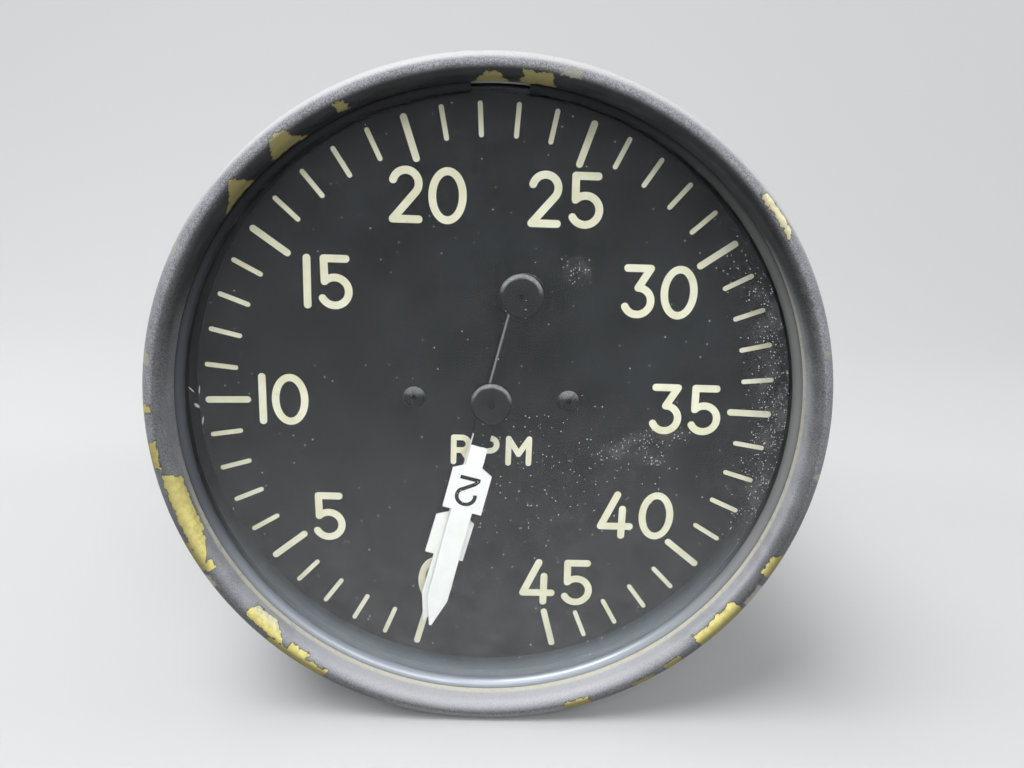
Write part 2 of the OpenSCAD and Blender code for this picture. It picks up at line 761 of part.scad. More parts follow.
module stator_core(i) {
    color("#5d6066") face() translate(unit_place(i)) difference() {
        ring(z_core - core_len, z_core, can_bore_r, stator_bore_r);
        for (k = [0 : slots - 1]) rotate([0, 0, k * 360 / slots])
            translate([0, -slot_w / 2, z_core - core_len - 1])
                cube([stator_bore_r + slot_depth, slot_w, core_len + 2]);
    }
}

// End windings at both ends of a core
module stator_windings(i) {
    color("#a8552f") face() translate(unit_place(i))
        for (z = [z_core + winding_r, z_core - core_len - winding_r])
            rotate_extrude() translate([winding_mid_r, z]) circle(r = winding_r, $fn = 32);
}

module motor_shaft(i) {
    color("#b4b7bd") face() translate(unit_place(i))
        ring(z_motor_rear_back + arbor_inset, z_magnet, motor_shaft_d / 2);
}

module rotor(i) {
    color("#7a7d84") face() translate(unit_place(i))
        ring(z_core - core_len, z_core, rotor_r, motor_shaft_d / 2);
}

module drag_magnet(i) {
    color("#55585f") face() translate(unit_place(i))
        ring(z_magnet - magnet_len, z_magnet, magnet_r, motor_shaft_d / 2);
}

// Long screws that hold the plates together through tubular spacers into the rear pillars
module tie_rods() {
    rod_len = z_front_plate - z_motor_rear_back + thread_in;
    color("#8f9298") face() for (p = pillar_places) translate([p.x, p.y, 0])
        screw(z_front_plate, rod_head_d, rod_head_t, tie_rod_d, rod_len, 1);
}

module spacers() {
    bays = [
        [z_middle_plate, z_front_plate_back],
        [z_motor_front, z_middle_plate_back],
        [z_motor_rear, z_motor_front_back]
    ];
    color("#b59a5b") face() for (p = pillar_places, b = bays) translate([p.x, p.y, 0])
        ring(b[0], b[1], pillar_d / 2, tie_rod_d / 2 + fit);
}

module rear_pillars() {
    color("#b59a5b") face() for (p = pillar_places) translate([p.x, p.y, 0]) difference() {
        ring(z_cover_front, z_motor_rear_back, pillar_d / 2);
        ring(z_motor_rear_back - thread_in - tap_spare, z_motor_rear_back + 1, tie_rod_d / 2 + fit);
        ring(z_cover_front - 1, z_cover_front + thread_in + tap_spare, rear_screw_d / 2 + fit);
    }
}

module rear_cover() {
    color("#23262b") face() difference() {
        union() {
            ring(z_cover_back, z_cover_seat, barrel_r - cover_inset);
            ring(z_cover_seat, z_cover_front, inner_r - slip);
        }
        for (p = pillar_places) translate([p.x, p.y, 0])
            hole(z_cover_back, z_cover_front, rear_screw_d / 2 + fit);
        for (s = [-1, 1]) translate([s * connector_x, 0, 0]) {
            hole(z_cover_back, z_cover_front, shell_d / 2 + slip);
            for (sx = [-1, 1], sy = [-1, 1]) translate([sx * flange_pitch / 2, sy * flange_pitch / 2, 0])
                hole(z_cover_back, z_cover_front, flange_screw_d / 2 + fit);
        }
    }
}

module rear_gasket() {
    color("#15171a") face() ring(z_cover_seat, z_barrel_end, barrel_r - cover_inset, inner_r - slip);
}

module rear_screws() {
    screw_len = z_cover_front - z_cover_back + thread_in;
    color("#8f9298") face() for (p = pillar_places) translate([p.x, p.y, 0])
        screw(z_cover_back, rear_screw_head_d, rear_screw_head_t, rear_screw_d, screw_len, -1);
}

// Square-flanged receptacle with a round shell
module connector_shell(i) {
    corner = flange_side / 2 - flange_corner_r;
    color("#a9adb2") face() translate([(i == 1 ? -1 : 1) * connector_x, 0, 0]) difference() {
        union() {
            translate([0, 0, z_flange_back]) {
                for (turn = [0, 90]) rotate([0, 0, turn])
                    translate([-flange_side / 2, -corner, 0]) cube([flange_side, 2 * corner, flange_t]);
                for (sx = [-1, 1], sy = [-1, 1]) translate([sx * corner, sy * corner, 0])
                    cylinder(r = flange_corner_r, h = flange_t);
            }
            ring(z_shell_end + shell_chamfer, z_shell_front, shell_d / 2);
            translate([0, 0, z_shell_end])
                cylinder(r1 = shell_d / 2 - shell_chamfer, r2 = shell_d / 2, h = shell_chamfer);
        }
        hole(z_shell_end, z_shell_front, shell_bore_d / 2);
        for (sx = [-1, 1], sy = [-1, 1]) translate([sx * flange_pitch / 2, sy * flange_pitch / 2, 0])
            hole(z_flange_back, z_flange, flange_screw_d / 2 + fit);
    }
}

pin_angles = [90, 210, 330];
z_insert = z_shell_end + insert_back;

module connector_inserts() {
    color("#5a4636") face() for (s = [-1, 1]) translate([s * connector_x, 0, 0]) difference() {
        ring(z_insert, z_shell_front, shell_bore_d / 2);
        for (a = pin_angles) rotate([0, 0, a]) translate([pin_circle_d / 2, 0, 0])
            hole(z_insert, z_shell_front, pin_d / 2);
    }
}

module connector_pins() {
    color("#d8c27a") face() for (s = [-1, 1]) translate([s * connector_x, 0, 0])
        for (a = pin_angles) rotate([0, 0, a]) translate([pin_circle_d / 2, 0, 0])
            ring(z_shell_end + pin_short, z_shell_front + solder_cup, pin_d / 2);
}

module connector_screws() {
    color("#8f9298") face() for (s = [-1, 1], sx = [-1, 1], sy = [-1, 1])
        translate([s * connector_x + sx * flange_pitch / 2, sy * flange_pitch / 2, 0])
            screw(z_flange_back, flange_head_d, flange_head_t, flange_screw_d, flange_screw_len, -1);
}

case();
snap_ring();
glass();
glass_gasket();
spacer_ring();
dial();
dial_scale();
dial_screws();
dial_posts();
front_plate();
middle_plate();
pointer_bushes();
arbor_bushes();
hairspring(1);  // hairspring_1
hairspring(2);  // hairspring_2
hairspring_studs();
keeper_rings();
motor_front_plate();
motor_rear_plate();
motor_bearings();
motor_can(1);  // motor_can_1
motor_can(2);  // motor_can_2
stator_core(1);  // stator_core_1
stator_core(2);  // stator_core_2
stator_windings(1);  // stator_windings_1
stator_windings(2);  // stator_windings_2
tie_rods();
spacers();
rear_pillars();
rear_cover();
rear_gasket();
rear_screws();
connector_shell(1);  // connector_shell_1
connector_shell(2);  // connector_shell_2
connector_inserts();
connector_pins();
connector_screws();
hand_1();
hand_1_hub();
hand_1_weight();
pointer_sleeve();
hand_1_gear();
hand_2();
hand_2_hub();
hand_2_weight();
pointer_shaft();
hand_2_gear();
cup_arbor(1);  // cup_arbor_1
cup_gear(1);  // cup_gear_1
drag_cup(1);  // drag_cup_1
cup_arbor(2);  // cup_arbor_2
cup_gear(2);  // cup_gear_2
drag_cup(2);  // drag_cup_2
motor_shaft(1);  // motor_shaft_1
rotor(1);  // rotor_1
drag_magnet(1);  // drag_magnet_1
motor_shaft(2);  // motor_shaft_2
rotor(2);  // rotor_2
drag_magnet(2);  // drag_magnet_2
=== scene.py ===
# %% [markdown]
# # A twin-hand aircraft tachometer
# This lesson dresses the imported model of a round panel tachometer. The real one has a painted case
# with a rolled lip, a glass held by a wire ring, a black dial, and two white hands that lie almost
# on top of each other.
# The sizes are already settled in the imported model, so it is loaded first and nothing in it is moved.
# Lengths are typed in millimetres, and MM turns them into Blender's metres.

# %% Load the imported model
import json
from math import asin, cos, degrees, hypot, pi, radians, sin, tau
import bpy
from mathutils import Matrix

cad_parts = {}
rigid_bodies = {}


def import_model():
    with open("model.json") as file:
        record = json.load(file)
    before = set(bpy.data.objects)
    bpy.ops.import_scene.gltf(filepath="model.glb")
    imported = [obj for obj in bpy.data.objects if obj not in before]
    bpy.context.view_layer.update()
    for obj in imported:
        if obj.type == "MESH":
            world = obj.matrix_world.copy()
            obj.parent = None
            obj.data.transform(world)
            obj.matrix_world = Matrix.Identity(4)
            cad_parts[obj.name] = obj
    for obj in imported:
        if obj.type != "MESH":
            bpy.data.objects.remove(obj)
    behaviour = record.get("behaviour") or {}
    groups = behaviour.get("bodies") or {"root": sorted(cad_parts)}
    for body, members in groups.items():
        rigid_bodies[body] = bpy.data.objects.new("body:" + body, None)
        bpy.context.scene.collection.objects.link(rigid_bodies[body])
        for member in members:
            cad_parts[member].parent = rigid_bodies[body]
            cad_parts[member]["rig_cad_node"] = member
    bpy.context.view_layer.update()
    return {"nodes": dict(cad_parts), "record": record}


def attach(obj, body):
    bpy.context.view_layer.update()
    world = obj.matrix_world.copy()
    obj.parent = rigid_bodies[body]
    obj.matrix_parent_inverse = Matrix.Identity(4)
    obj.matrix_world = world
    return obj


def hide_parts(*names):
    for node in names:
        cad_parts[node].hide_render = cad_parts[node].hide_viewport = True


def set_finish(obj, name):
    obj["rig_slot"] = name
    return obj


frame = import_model()
MM = 0.001

# %% [markdown]
# ## Camera
# The photograph was taken from very close, a little above the middle of the dial, and that closeness
# is what makes the lower lip look so deep. A camera could be aimed with a constraint, but here the
# place, the turn and the lens were worked out from the marks of the dial, so they are simply typed in.
# Operators act on all that is selected, and loading leaves the solids selected, so a helper picks what
# the next operator is meant for.

# %% Place the camera


def pick(*pieces):
    """Selects these pieces and nothing else, and makes the first of them active."""
    bpy.ops.object.select_all(action="DESELECT")
    for piece in pieces:
        piece.select_set(True)
    if pieces:
        bpy.context.view_layer.objects.active = pieces[0]


CAMERA_PLACE, CAMERA_TURN = (-0.49, -98.80, 27.65), (75.989, -1.942, -1.251)
LENS, SENSOR = 28.70, 36.0
pick()
bpy.ops.object.camera_add(location=[c * MM for c in CAMERA_PLACE])
camera = bpy.context.object
camera.rotation_euler = [radians(a) for a in CAMERA_TURN]
camera.data.lens = LENS
camera.data.sensor_width = SENSOR
camera.data.clip_start = 5 * MM
bpy.context.scene.camera = camera
print("camera lens", camera.data.lens, "mm at", [round(c, 4) for c in camera.location])

# %% [markdown]
# ## Stage and light
# A pale sweep stands in for the table: a floor that curves up into a back wall, so that no horizon
# cuts the picture. It is one plane whose far edge is extruded upwards, with the corner bevelled into
# a wide curve.
# A big soft lamp hangs overhead, because the brightest light falls on surfaces that look up. One in
# front and two at the sides fill the shadows. Together they are only so strong that a colour looks
# about as it is written.

# %% Sweep the floor up behind the object


def select_edges(piece, test):
    """Selects the edges whose two ends pass a test, and opens the piece for work on its edges."""
    for edge in piece.data.edges:
        edge.select = test(*[piece.data.vertices[v].co for v in edge.vertices])
    bpy.ops.object.mode_set(mode="EDIT")
    bpy.ops.mesh.select_mode(type="EDGE")


FLOOR_SIZE, FLOOR_PLACE, WALL_HEIGHT, CORNER = 3.0, (0, -0.9, -41.27 * MM), 1.5, 0.35
pick()
bpy.ops.mesh.primitive_plane_add(size=FLOOR_SIZE, location=FLOOR_PLACE)
floor = bpy.context.object
floor.name = "floor_sweep"
bpy.ops.object.mode_set(mode="EDIT")
bpy.ops.mesh.select_mode(type="EDGE")
bpy.ops.mesh.select_all(action="DESELECT")
bpy.ops.object.mode_set(mode="OBJECT")
select_edges(floor, lambda a, b: min(a.y, b.y) > 0)
bpy.ops.mesh.extrude_region_move(TRANSFORM_OT_translate={"value": (0, 0, WALL_HEIGHT)})
bpy.ops.object.mode_set(mode="OBJECT")
select_edges(floor, lambda a, b: min(a.y, b.y) > 0 and max(a.z, b.z) < 0.1)
bpy.ops.mesh.bevel(offset=CORNER, segments=16)
bpy.ops.object.mode_set(mode="OBJECT")
bpy.ops.object.shade_smooth()
bpy.ops.object.transform_apply()
print("sweep with", len(floor.data.polygons), "faces")

# %% Hang the lamps


def soft_lamp(name, place, size, power):
    """A square lamp at a place, turned so that it shines on the middle of the dial."""
    pick()
    bpy.ops.object.light_add(type="AREA", location=place)
    lamp = bpy.context.object
    lamp.name = name
    lamp.data.shape = "SQUARE"
    lamp.data.size = size
    lamp.data.energy = power
    lamp.rotation_euler = lamp.location.to_track_quat("Z", "Y").to_euler()
    print(name, "gives", power, "W")


soft_lamp("lamp_overhead", (-0.26, -0.18, 0.76), size=0.5, power=5.2)
soft_lamp("lamp_front", (0.20, -0.95, 0.55), size=0.7, power=4.6)
for name, x in (("lamp_left", -0.85), ("lamp_right", 0.85)):
    soft_lamp(name, (x, 0.1, 0.52), size=0.3, power=1.3)
bpy.context.scene.view_settings.view_transform = "Standard"

# %% [markdown]
# ## Air of the studio
# Beyond the floor lies a pale room. It could be lit by stronger lamps, but those would bleach the
# instrument. So the air gives a weak even light, and only rays from the eye, from a gloss or through
# glass meet its pale colour. The helpers here serve every later finish as well: they add nodes to the
# network at hand, called net, fill their sockets with values or links, and do arithmetic.

# %% Fill the studio with pale air


def node(kind, sockets=None, **settings):
    """Adds a node to the network at hand, sets it up and fills its sockets with values or links."""
    made = net.nodes.new("ShaderNode" + kind)
    for key, value in settings.items():
        setattr(made, key, value)
    for key, value in (sockets or {}).items():
        if isinstance(value, bpy.types.NodeSocket):
            net.links.new(value, made.inputs[key])
        else:
            made.inputs[key].default_value = value
    return made


def calc(operation, *values):
    """The result of one arithmetic node."""
    return node("Math", dict(enumerate(values)), operation=operation).outputs[0]


def in_turn(operation, first, *others):
    """One operation over a row of values, from left to right."""
    for other in others:
        first = calc(operation, first, other)
    return first


def larger(*values):
    """The largest of several values."""
    return in_turn("MAXIMUM", *values)


def seen():
    """1 for rays from the eye, from a gloss or through glass, and 0 for rays that light a surface."""
    ray = node("LightPath").outputs
    return larger(ray["Is Camera Ray"], ray["Is Glossy Ray"], ray["Is Transmission Ray"])


def show_either(share, first, second, end):
    """Shows a first shader where a share is 0, and a second one where it is 1."""
    both = node("MixShader", {0: share, 1: first.outputs[0], 2: second.outputs[0]})
    net.links.new(both.outputs[0], net.nodes[end].inputs["Surface"])


PALE, PALE_LEVEL = (0.955, 0.975, 1.0, 1), 0.66
world = bpy.data.worlds.new("studio_air")
bpy.context.scene.world = world
world.use_nodes = True
net = world.node_tree
light = net.nodes["Background"]
light.inputs["Color"].default_value = (0.93, 0.96, 1.0, 1)
light.inputs["Strength"].default_value = 0.2
view = node("Background", {"Color": PALE, "Strength": PALE_LEVEL})
show_either(seen(), light, view, "World Output")
print("air lights with", light.inputs["Strength"].default_value, "and is seen as", PALE_LEVEL)

# %% [markdown]
# ## Drawing an outline and turning it
# Case, glass, rings, hubs and screw heads were all cut on a lathe or pressed round, so each is one
# outline turned about an axis. The outline could be a curve, but here it is drawn as by hand: a small
# plane is merged to a single point, the point is extruded from corner to corner, and the line is spun
# about the axis of the case.
# An outline is a list of radius and depth. Depth is 0 at the panel's face and grows towards the back.

# %% Draw a line of points


def first_point(name, place):
    """A new piece that is one selected point."""
    pick()
    bpy.ops.mesh.primitive_plane_add(size=MM)
    piece = bpy.context.object
    piece.name = piece.data.name = name
    bpy.ops.object.mode_set(mode="EDIT")
    bpy.ops.mesh.select_mode(type="VERT")
    bpy.ops.mesh.select_all(action="SELECT")
    bpy.ops.mesh.merge(type="CENTER")
    bpy.ops.transform.translate(value=place)
    return piece


def draw_on(points):
    """Extrudes the selected point along a list of places."""
    for here, there in zip(points, points[1:]):
        step = [b - a for a, b in zip(here, there)]
        bpy.ops.mesh.extrude_region_move(TRANSFORM_OT_translate={"value": step})


def arc(centre, radius, start, end, steps):
    """Places round a centre; the angle is 0 towards the viewer and 90 away from the axis."""
    turns = [radians(start + (end - start) * i / steps) for i in range(steps + 1)]
    return [(centre[0] + radius * sin(a), centre[1] - radius * cos(a)) for a in turns]


print("a quarter circle in 6 steps has", len(arc((0, 0), 1, 0, 90, 6)), "points")

# %% [markdown]
# ## Case
# The case is a drawn barrel with a thick rolled lip that hides the edge of the hole in the panel.
# Inside the lip a round groove holds the wire that keeps the glass in, and a ledge behind it carries
# the dial. One outline gives all of it, and the lip's roll is a row of points on a circle.

# %% Turn the case


def close_up(smooth=35):
    """Merges doubled points, turns the faces outwards and leaves edit mode."""
    bpy.ops.mesh.select_all(action="SELECT")
    bpy.ops.mesh.remove_doubles(threshold=1e-6)
    bpy.ops.mesh.normals_make_consistent(inside=False)
    bpy.ops.object.mode_set(mode="OBJECT")
    bpy.ops.object.shade_smooth_by_angle(angle=radians(smooth))


def turned(name, outline, steps=160, x=0.0, z=0.0, smooth=35):
    """Spins an outline of (radius, depth) about an axis along the case at x, z."""
    points = [((x + r) * MM, y * MM, z * MM) for r, y in outline]
    piece = first_point(name, points[0])
    draw_on(points)
    bpy.ops.mesh.select_all(action="SELECT")
    bpy.ops.mesh.spin(steps=steps, angle=tau, center=(x * MM, 0, z * MM), axis=(0, 1, 0))
    close_up(smooth)
    return piece


def dress(piece, body, slot, *nodes):
    """Hangs a finished piece on its body, names its finish and hides the solids that it stands for."""
    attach(piece, body)
    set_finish(piece, slot)
    if nodes:
        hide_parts(*nodes)
    print(piece.name, "has", len(piece.data.polygons), "faces")


LIP_RADIUS, LIP_DEPTH, LIP_ROLL = 39.85, -4.4, 1.4
GROOVE = (38.1, -2.0)
case_outline = [(38.25, -3.2), (38.27, -3.42)]
case_outline += arc((LIP_RADIUS, LIP_DEPTH), LIP_ROLL, -80.7, 90, 30)
case_outline += [(41.25, -0.4), (41.13, -0.12), (40.85, 0), (39.75, 0), (39.5, 0.1), (39.4, 0.35)]
case_outline += [(39.4, 81.7), (39.1, 82), (37.2, 82), (37.0, 81.8), (37.0, 5), (38.25, 5)]
case_outline += arc(GROOVE, 0.85, 169.84, 10.16, 14) + [(38.25, -3.2)]
case = turned("case_shell", case_outline, steps=192, smooth=25)
dress(case, "instrument", "case_paint", "case")

# %% [markdown]
# ## Wire ring, glass and spacer
# The glass lies on a rubber ring over a rolled spacer, and a springy wire snapped into the groove
# holds it down. The wire is a small circle spun most of the way round, so that a gap is left at the
# top where a pick can lift it.
# The glass is a slab with its sharp rim ground off. The ground rim is dull, so a dull band stands
# just inside it.

# %% Bend the wire ring
WIRE_RADIUS, GAP = 0.8, 10
turn = radians(-GAP / 2)
wire = [(r * sin(turn) * MM, y * MM, r * cos(turn) * MM)
        for r, y in arc(GROOVE, WIRE_RADIUS, 0, 360, 28)]
ring = first_point("snap_wire", wire[0])
draw_on(wire)
bpy.ops.mesh.select_all(action="SELECT")
bpy.ops.mesh.spin(steps=186, angle=radians(360 - GAP), center=(0, 0, 0), axis=(0, 1, 0))
bpy.ops.mesh.select_all(action="SELECT")
bpy.ops.mesh.remove_doubles(threshold=1e-6)
bpy.ops.mesh.select_all(action="DESELECT")
bpy.ops.mesh.select_non_manifold()
bpy.ops.mesh.fill_holes(sides=0)
close_up(40)
dress(ring, "instrument", "ring_paint", "snap_ring")

# %% Cut the glass and roll the spacer
WINDOW, SEAT = 37.75, 38.15
glass_outline = [(0, -1.2), (37.9, -1.2), (SEAT, -0.95), (SEAT, 0.25), (38.0, 0.4), (0, 0.4)]
glass = turned("glass_pane", glass_outline, steps=128)
dress(glass, "instrument", "cover_glass", "glass")
rim_outline = [(WINDOW, -1.19), (37.89, -1.19), (38.13, -0.95), (38.13, 0.24), (37.99, 0.39)]
ground = turned("glass_rim", rim_outline + [(WINDOW, 0.39), (WINDOW, -1.19)], steps=128)
dress(ground, "instrument", "rubber_seal")
spacer_outline = [(WINDOW, 0.94), (37.79, 0.9), (SEAT, 0.9), (SEAT, 4), (WINDOW, 4), (WINDOW, 0.94)]
spacer = turned("spacer_band", spacer_outline)
dress(spacer, "instrument", "spacer_paint", "spacer_ring")

# %% [markdown]
# ## Hands
# Both hands are stamped from thin sheet: a neck, a wide flag for the engine's number, a blade with a
# tapered tip, and a tail that ends in a round weight. Hand 1 lies behind and wears its flag further
# out than hand 2.
# The stamped outline is drawn point by point, the hole for the hub is added as a circle, the space
# between is filled, and the sheet is extruded and its edges are broken with a bevel, as tumbling does
# to real stampings.

# %% Draw the outline of a hand
HUB, HOLE, WEIGHT, TAIL = 2.65, 2.1, 2.7, -14.3
TIP, BLADE, FLAG, NECK, TAIL_HALF = 32.2, 1.4, 2.6, 1.1, 1.0


def pointing(angle, along, across):
    """The x and z of a place on a hand that rests so many degrees past six o'clock."""
    a = radians(angle)
    return -along * sin(a) - across * cos(a), -along * cos(a) + across * sin(a)


def hand_outline(flag):
    """Right side of a hand from tip to weight, then the left side back, as (along, across)."""
    half = [(TIP, 0.15), (28.2, BLADE), (flag + 6.3, BLADE), (flag + 6.3, FLAG), (flag + 0.8, FLAG)]
    half += [(flag, NECK)]
    neck, tail = degrees(asin(NECK / HUB)), degrees(asin(TAIL_HALF / HUB))
    half += arc((0, 0), HUB, 90 + neck, 270 - tail, 12)
    half += arc((TAIL, 0), WEIGHT, 90 + degrees(asin(TAIL_HALF / WEIGHT)), 270, 18)
    return half + [(a, -c) for a, c in reversed(half[:-1])]


outline_1, outline_2 = hand_outline(16.0), hand_outline(8.7)
print("a hand's outline has", len(outline_1), "points")

# %% Stamp the hands


def break_edges(piece, width):
    """Bevels the sharp edges of a piece."""
    bpy.ops.object.modifier_add(type="BEVEL")
    edge = piece.modifiers[-1]
    edge.width, edge.segments = width * MM, 2
    edge.limit_method, edge.angle_limit = "ANGLE", radians(50)
    bpy.ops.object.modifier_apply(modifier=edge.name)


def stamped(name, outline, angle, front, back, hole=None):
    """A flat piece between two depths from an outline of (along, across), with a round hole or none."""
    flat = [pointing(angle, a, c) for a, c in outline]
    points = [(x * MM, back * MM, z * MM) for x, z in flat]
    piece = first_point(name, points[0])
    draw_on(points + points[:1])
    if hole:
        bpy.ops.mesh.primitive_circle_add(vertices=48, radius=hole * MM, rotation=(pi / 2, 0, 0),
                                          location=(0, back * MM, 0))
    bpy.ops.mesh.select_all(action="SELECT")
    bpy.ops.mesh.remove_doubles(threshold=1e-6)
    bpy.ops.mesh.fill(use_beauty=True)
    bpy.ops.mesh.select_all(action="SELECT")
    bpy.ops.mesh.extrude_region_move(TRANSFORM_OT_translate={"value": (0, (front - back) * MM, 0)})
    close_up(30)
    return piece


SHEET, REST_1, REST_2, FRONT_1, FRONT_2 = 0.4, 15.0, 13.4, 2.3, 1.4
for name, outline, angle, front in (("hand_1", outline_1, REST_1, FRONT_1),
                                    ("hand_2", outline_2, REST_2, FRONT_2)):
    hand = stamped(name + "_sheet", outline, angle, front, front + SHEET, HOLE)
    break_edges(hand, 0.05)
    dress(hand, name + "_group", "hand_white", name)

# %% [markdown]
# ## Engine numbers
# Each flag carries the number of its engine, printed so that it reads from the middle of the dial
# outwards. The print is a stroke of constant width, so a centre line is drawn, widened to both sides
# into an outline, and stamped as a film a few hundredths of a millimetre thick. A text object would
# bring a typeface with it.

# %% Print the numbers


def stroke(line, width):
    """The outline of a stroke of some width along a line of places, with square ends."""
    left, right = [], []
    for i, (a, c) in enumerate(line):
        before, after = line[max(i - 1, 0)], line[min(i + 1, len(line) - 1)]
        da, dc = after[0] - before[0], after[1] - before[1]
        size = hypot(da, dc)
        na, nc = -dc / size * width / 2, da / size * width / 2
        left.append((a + na, c + nc))
        right.append((a - na, c - nc))
    return left + right[::-1]


STROKE, INK_FRONT, INK_BACK = 0.5, 0.025, 0.001
figure_1 = [(-1.9, 0), (1.9, 0)]
bow = [radians(200 - 235 * i / 16) for i in range(17)]
figure_2 = [(0.75 + 1.15 * sin(t), 1.2 * cos(t)) for t in bow]
figure_2 += [(-1.1, -0.75), (-1.65, -1.15), (-1.72, -1.2), (-1.72, -1.0), (-1.72, 1.35)]
for hand, figure, middle, angle, front in (("hand_1", figure_1, 19.4, REST_1, FRONT_1),
                                           ("hand_2", figure_2, 12.1, REST_2, FRONT_2)):
    line = [(middle + a, c) for a, c in figure]
    number = stamped(hand + "_number", stroke(line, STROKE), angle, front - INK_FRONT, front - INK_BACK)
    dress(number, hand + "_group", "hardware_black")

# %% [markdown]
# ## Hubs and counterweights
# Hand 1 rides on a flanged bush, hand 2 on a cap with a small centre hole, and each tail carries a
# turned weight. They are satin black, so only their rounded rims catch light, and the rim's radius
# matters more than anything else.

# %% Turn the hubs and weights
cap_outline = [(0, 1.35), (0.36, 1.35), (0.38, 0.84), (0.42, 0.8), (2.25, 0.8)]
cap_outline += arc((2.25, 1.2), 0.4, 10, 90, 6)
cap_outline += [(HUB, 1.4), (HOLE, 1.4), (HOLE, 1.8), (1.0, 1.8), (1.0, 1.4), (0, 1.4)]
cap = turned("hand_2_cap", cap_outline, steps=64)
dress(cap, "hand_2_group", "hardware_black", "hand_2_hub")
bush_outline = [(1.6, 2.3), (HOLE, 2.3), (HOLE, 2.7), (HUB, 2.7), (HUB, 3.0), (2.5, 3.15), (1.6, 3.15)]
bush = turned("hand_1_bush", bush_outline + [(1.6, 2.3)], steps=64)
dress(bush, "hand_1_group", "hardware_black", "hand_1_hub")
BOB_ROUND, BOB_THICK = 0.25, 0.45
for hand, angle, front in (("hand_1", REST_1, 2.7), ("hand_2", REST_2, 0.95)):
    x, z = pointing(angle, TAIL, 0)
    bob_outline = [(0, front)] + arc((WEIGHT - BOB_ROUND, front + BOB_ROUND), BOB_ROUND, 0, 90, 5)
    bob_outline += [(WEIGHT, front + BOB_THICK), (0, front + BOB_THICK)]
    bob = turned(hand + "_bob", bob_outline, steps=64, x=x, z=z)
    dress(bob, hand + "_group", "hardware_black", hand + "_weight")

# %% [markdown]
# ## Screws
# Two small domed screws hold the dial, four hold the rear cover, and eight hold the sockets. A screw
# is a turned head and shank with a slot sawn across the head. The slot is a box taken away with a
# Boolean modifier. One screw of each kind is made on the axis of the case, then it is copied, and the
# copies are turned a little, because no two slots end up the same way, and joined into one piece.

# %% Turn a screw


def dome(radius, top, sag, steps):
    """A domed end from the axis outwards, which falls away by sag towards its edge."""
    turns = [radians(90 * i / steps) for i in range(steps + 1)]
    return [(radius * sin(a), top - sag * (1 - cos(a))) for a in turns]


def screw(seat, out, head, height, shank, length, slot, sunk):
    """A screw on the axis with a slot sunk into it; out is -1 towards the viewer, 1 towards the back."""
    top, end = seat + out * height, seat - out * length
    outline = dome(head, top, 0.62 * out * height, 8)
    piece = turned("screw", outline + [(head, seat), (shank, seat), (shank, end), (0, end)], steps=40)
    pick()
    bpy.ops.mesh.primitive_cube_add(size=MM, location=(0, top * MM, 0),
                                    scale=(2.4 * head, 2 * sunk, slot))
    saw = bpy.context.object
    pick(piece)
    bpy.ops.object.modifier_add(type="BOOLEAN")
    cut = piece.modifiers[-1]
    cut.operation, cut.object = "DIFFERENCE", saw
    bpy.ops.object.modifier_apply(modifier=cut.name)
    bpy.data.objects.remove(saw)
    bpy.ops.object.shade_smooth_by_angle(angle=radians(30))
    return piece


dial_screw = screw(seat=4.0, out=-1, head=1.4, height=0.7, shank=1.05, length=6.0, slot=0.5, sunk=0.42)
cover_screw = screw(seat=85.0, out=1, head=2.5, height=1.6, shank=1.4, length=12.0, slot=0.7, sunk=0.7)
flange_screw = screw(seat=87.0, out=1, head=2.2, height=1.4, shank=1.3, length=8.0, slot=0.6, sunk=0.6)
print("a dial screw has", len(dial_screw.data.polygons), "faces")

# %% Copy the screws


def copied(model, places):
    """Copies of a piece at x and z, each turned about its axis; the model itself is taken away."""
    copies = []
    for x, z, turn in places:
        pick(model)
        bpy.ops.object.duplicate()
        copy = bpy.context.object
        copy.location = (x * MM, 0, z * MM)
        copy.rotation_euler = (0, radians(turn), 0)
        bpy.ops.object.transform_apply()
        copies.append(copy)
    bpy.data.objects.remove(model)
    return copies


def joined(pieces, name):
    """One piece from several."""
    pick(*pieces)
    bpy.ops.object.join()
    pieces[0].name = pieces[0].data.name = name
    return pieces[0]


DIAL_SCREW_X, SOCKET_X, BOLT = 10, 16, 9.13
SIGNS = (-1, 1)
dial_screws = copied(dial_screw, [(-DIAL_SCREW_X, 0, 84), (DIAL_SCREW_X, 0, -52)])
dress(joined(dial_screws, "dial_screw_pair"), "instrument", "hardware_black", "dial_screws")
corners = [(-14, -28, 20), (-14, 28, 75), (14, -28, -35), (14, 28, 8)]
cover_screws = copied(cover_screw, corners)
dress(joined(cover_screws, "cover_screw_set"), "instrument", "steel", "rear_screws")
corners = [(s * SOCKET_X + i * BOLT, j * BOLT, 37 * i + 61 * j + 9 * s)
           for s in SIGNS for i in SIGNS for j in SIGNS]
flange_screws = copied(flange_screw, corners)
dress(joined(flange_screws, "flange_screw_set"), "instrument", "steel", "connector_screws")

# %% [markdown]
# ## Rear cover and sockets
# The back is closed by a cast cover with a stepped rim. Each engine's cable screws onto a round
# threaded socket that stands on a square flange. The thread is a zigzag in the turned outline: at this
# size its rings look like the helix of a real thread, and they stay a closed surface. One socket is
# built on the axis and copied to the two sides.

# %% Turn the rear cover
cover_outline = [(0, 85), (34.6, 85), (34.9, 84.85), (35.6, 84.85), (35.9, 85), (38.6, 85)]
cover_outline += [(39.0, 84.8), (39.2, 84.4), (39.2, 82.7), (39.0, 82.5), (36.9, 82.5)]
cover_outline += [(36.9, 79.2), (36.7, 79), (0, 79)]
cover = turned("rear_cover_casting", cover_outline)
dress(cover, "instrument", "case_paint", "rear_cover")

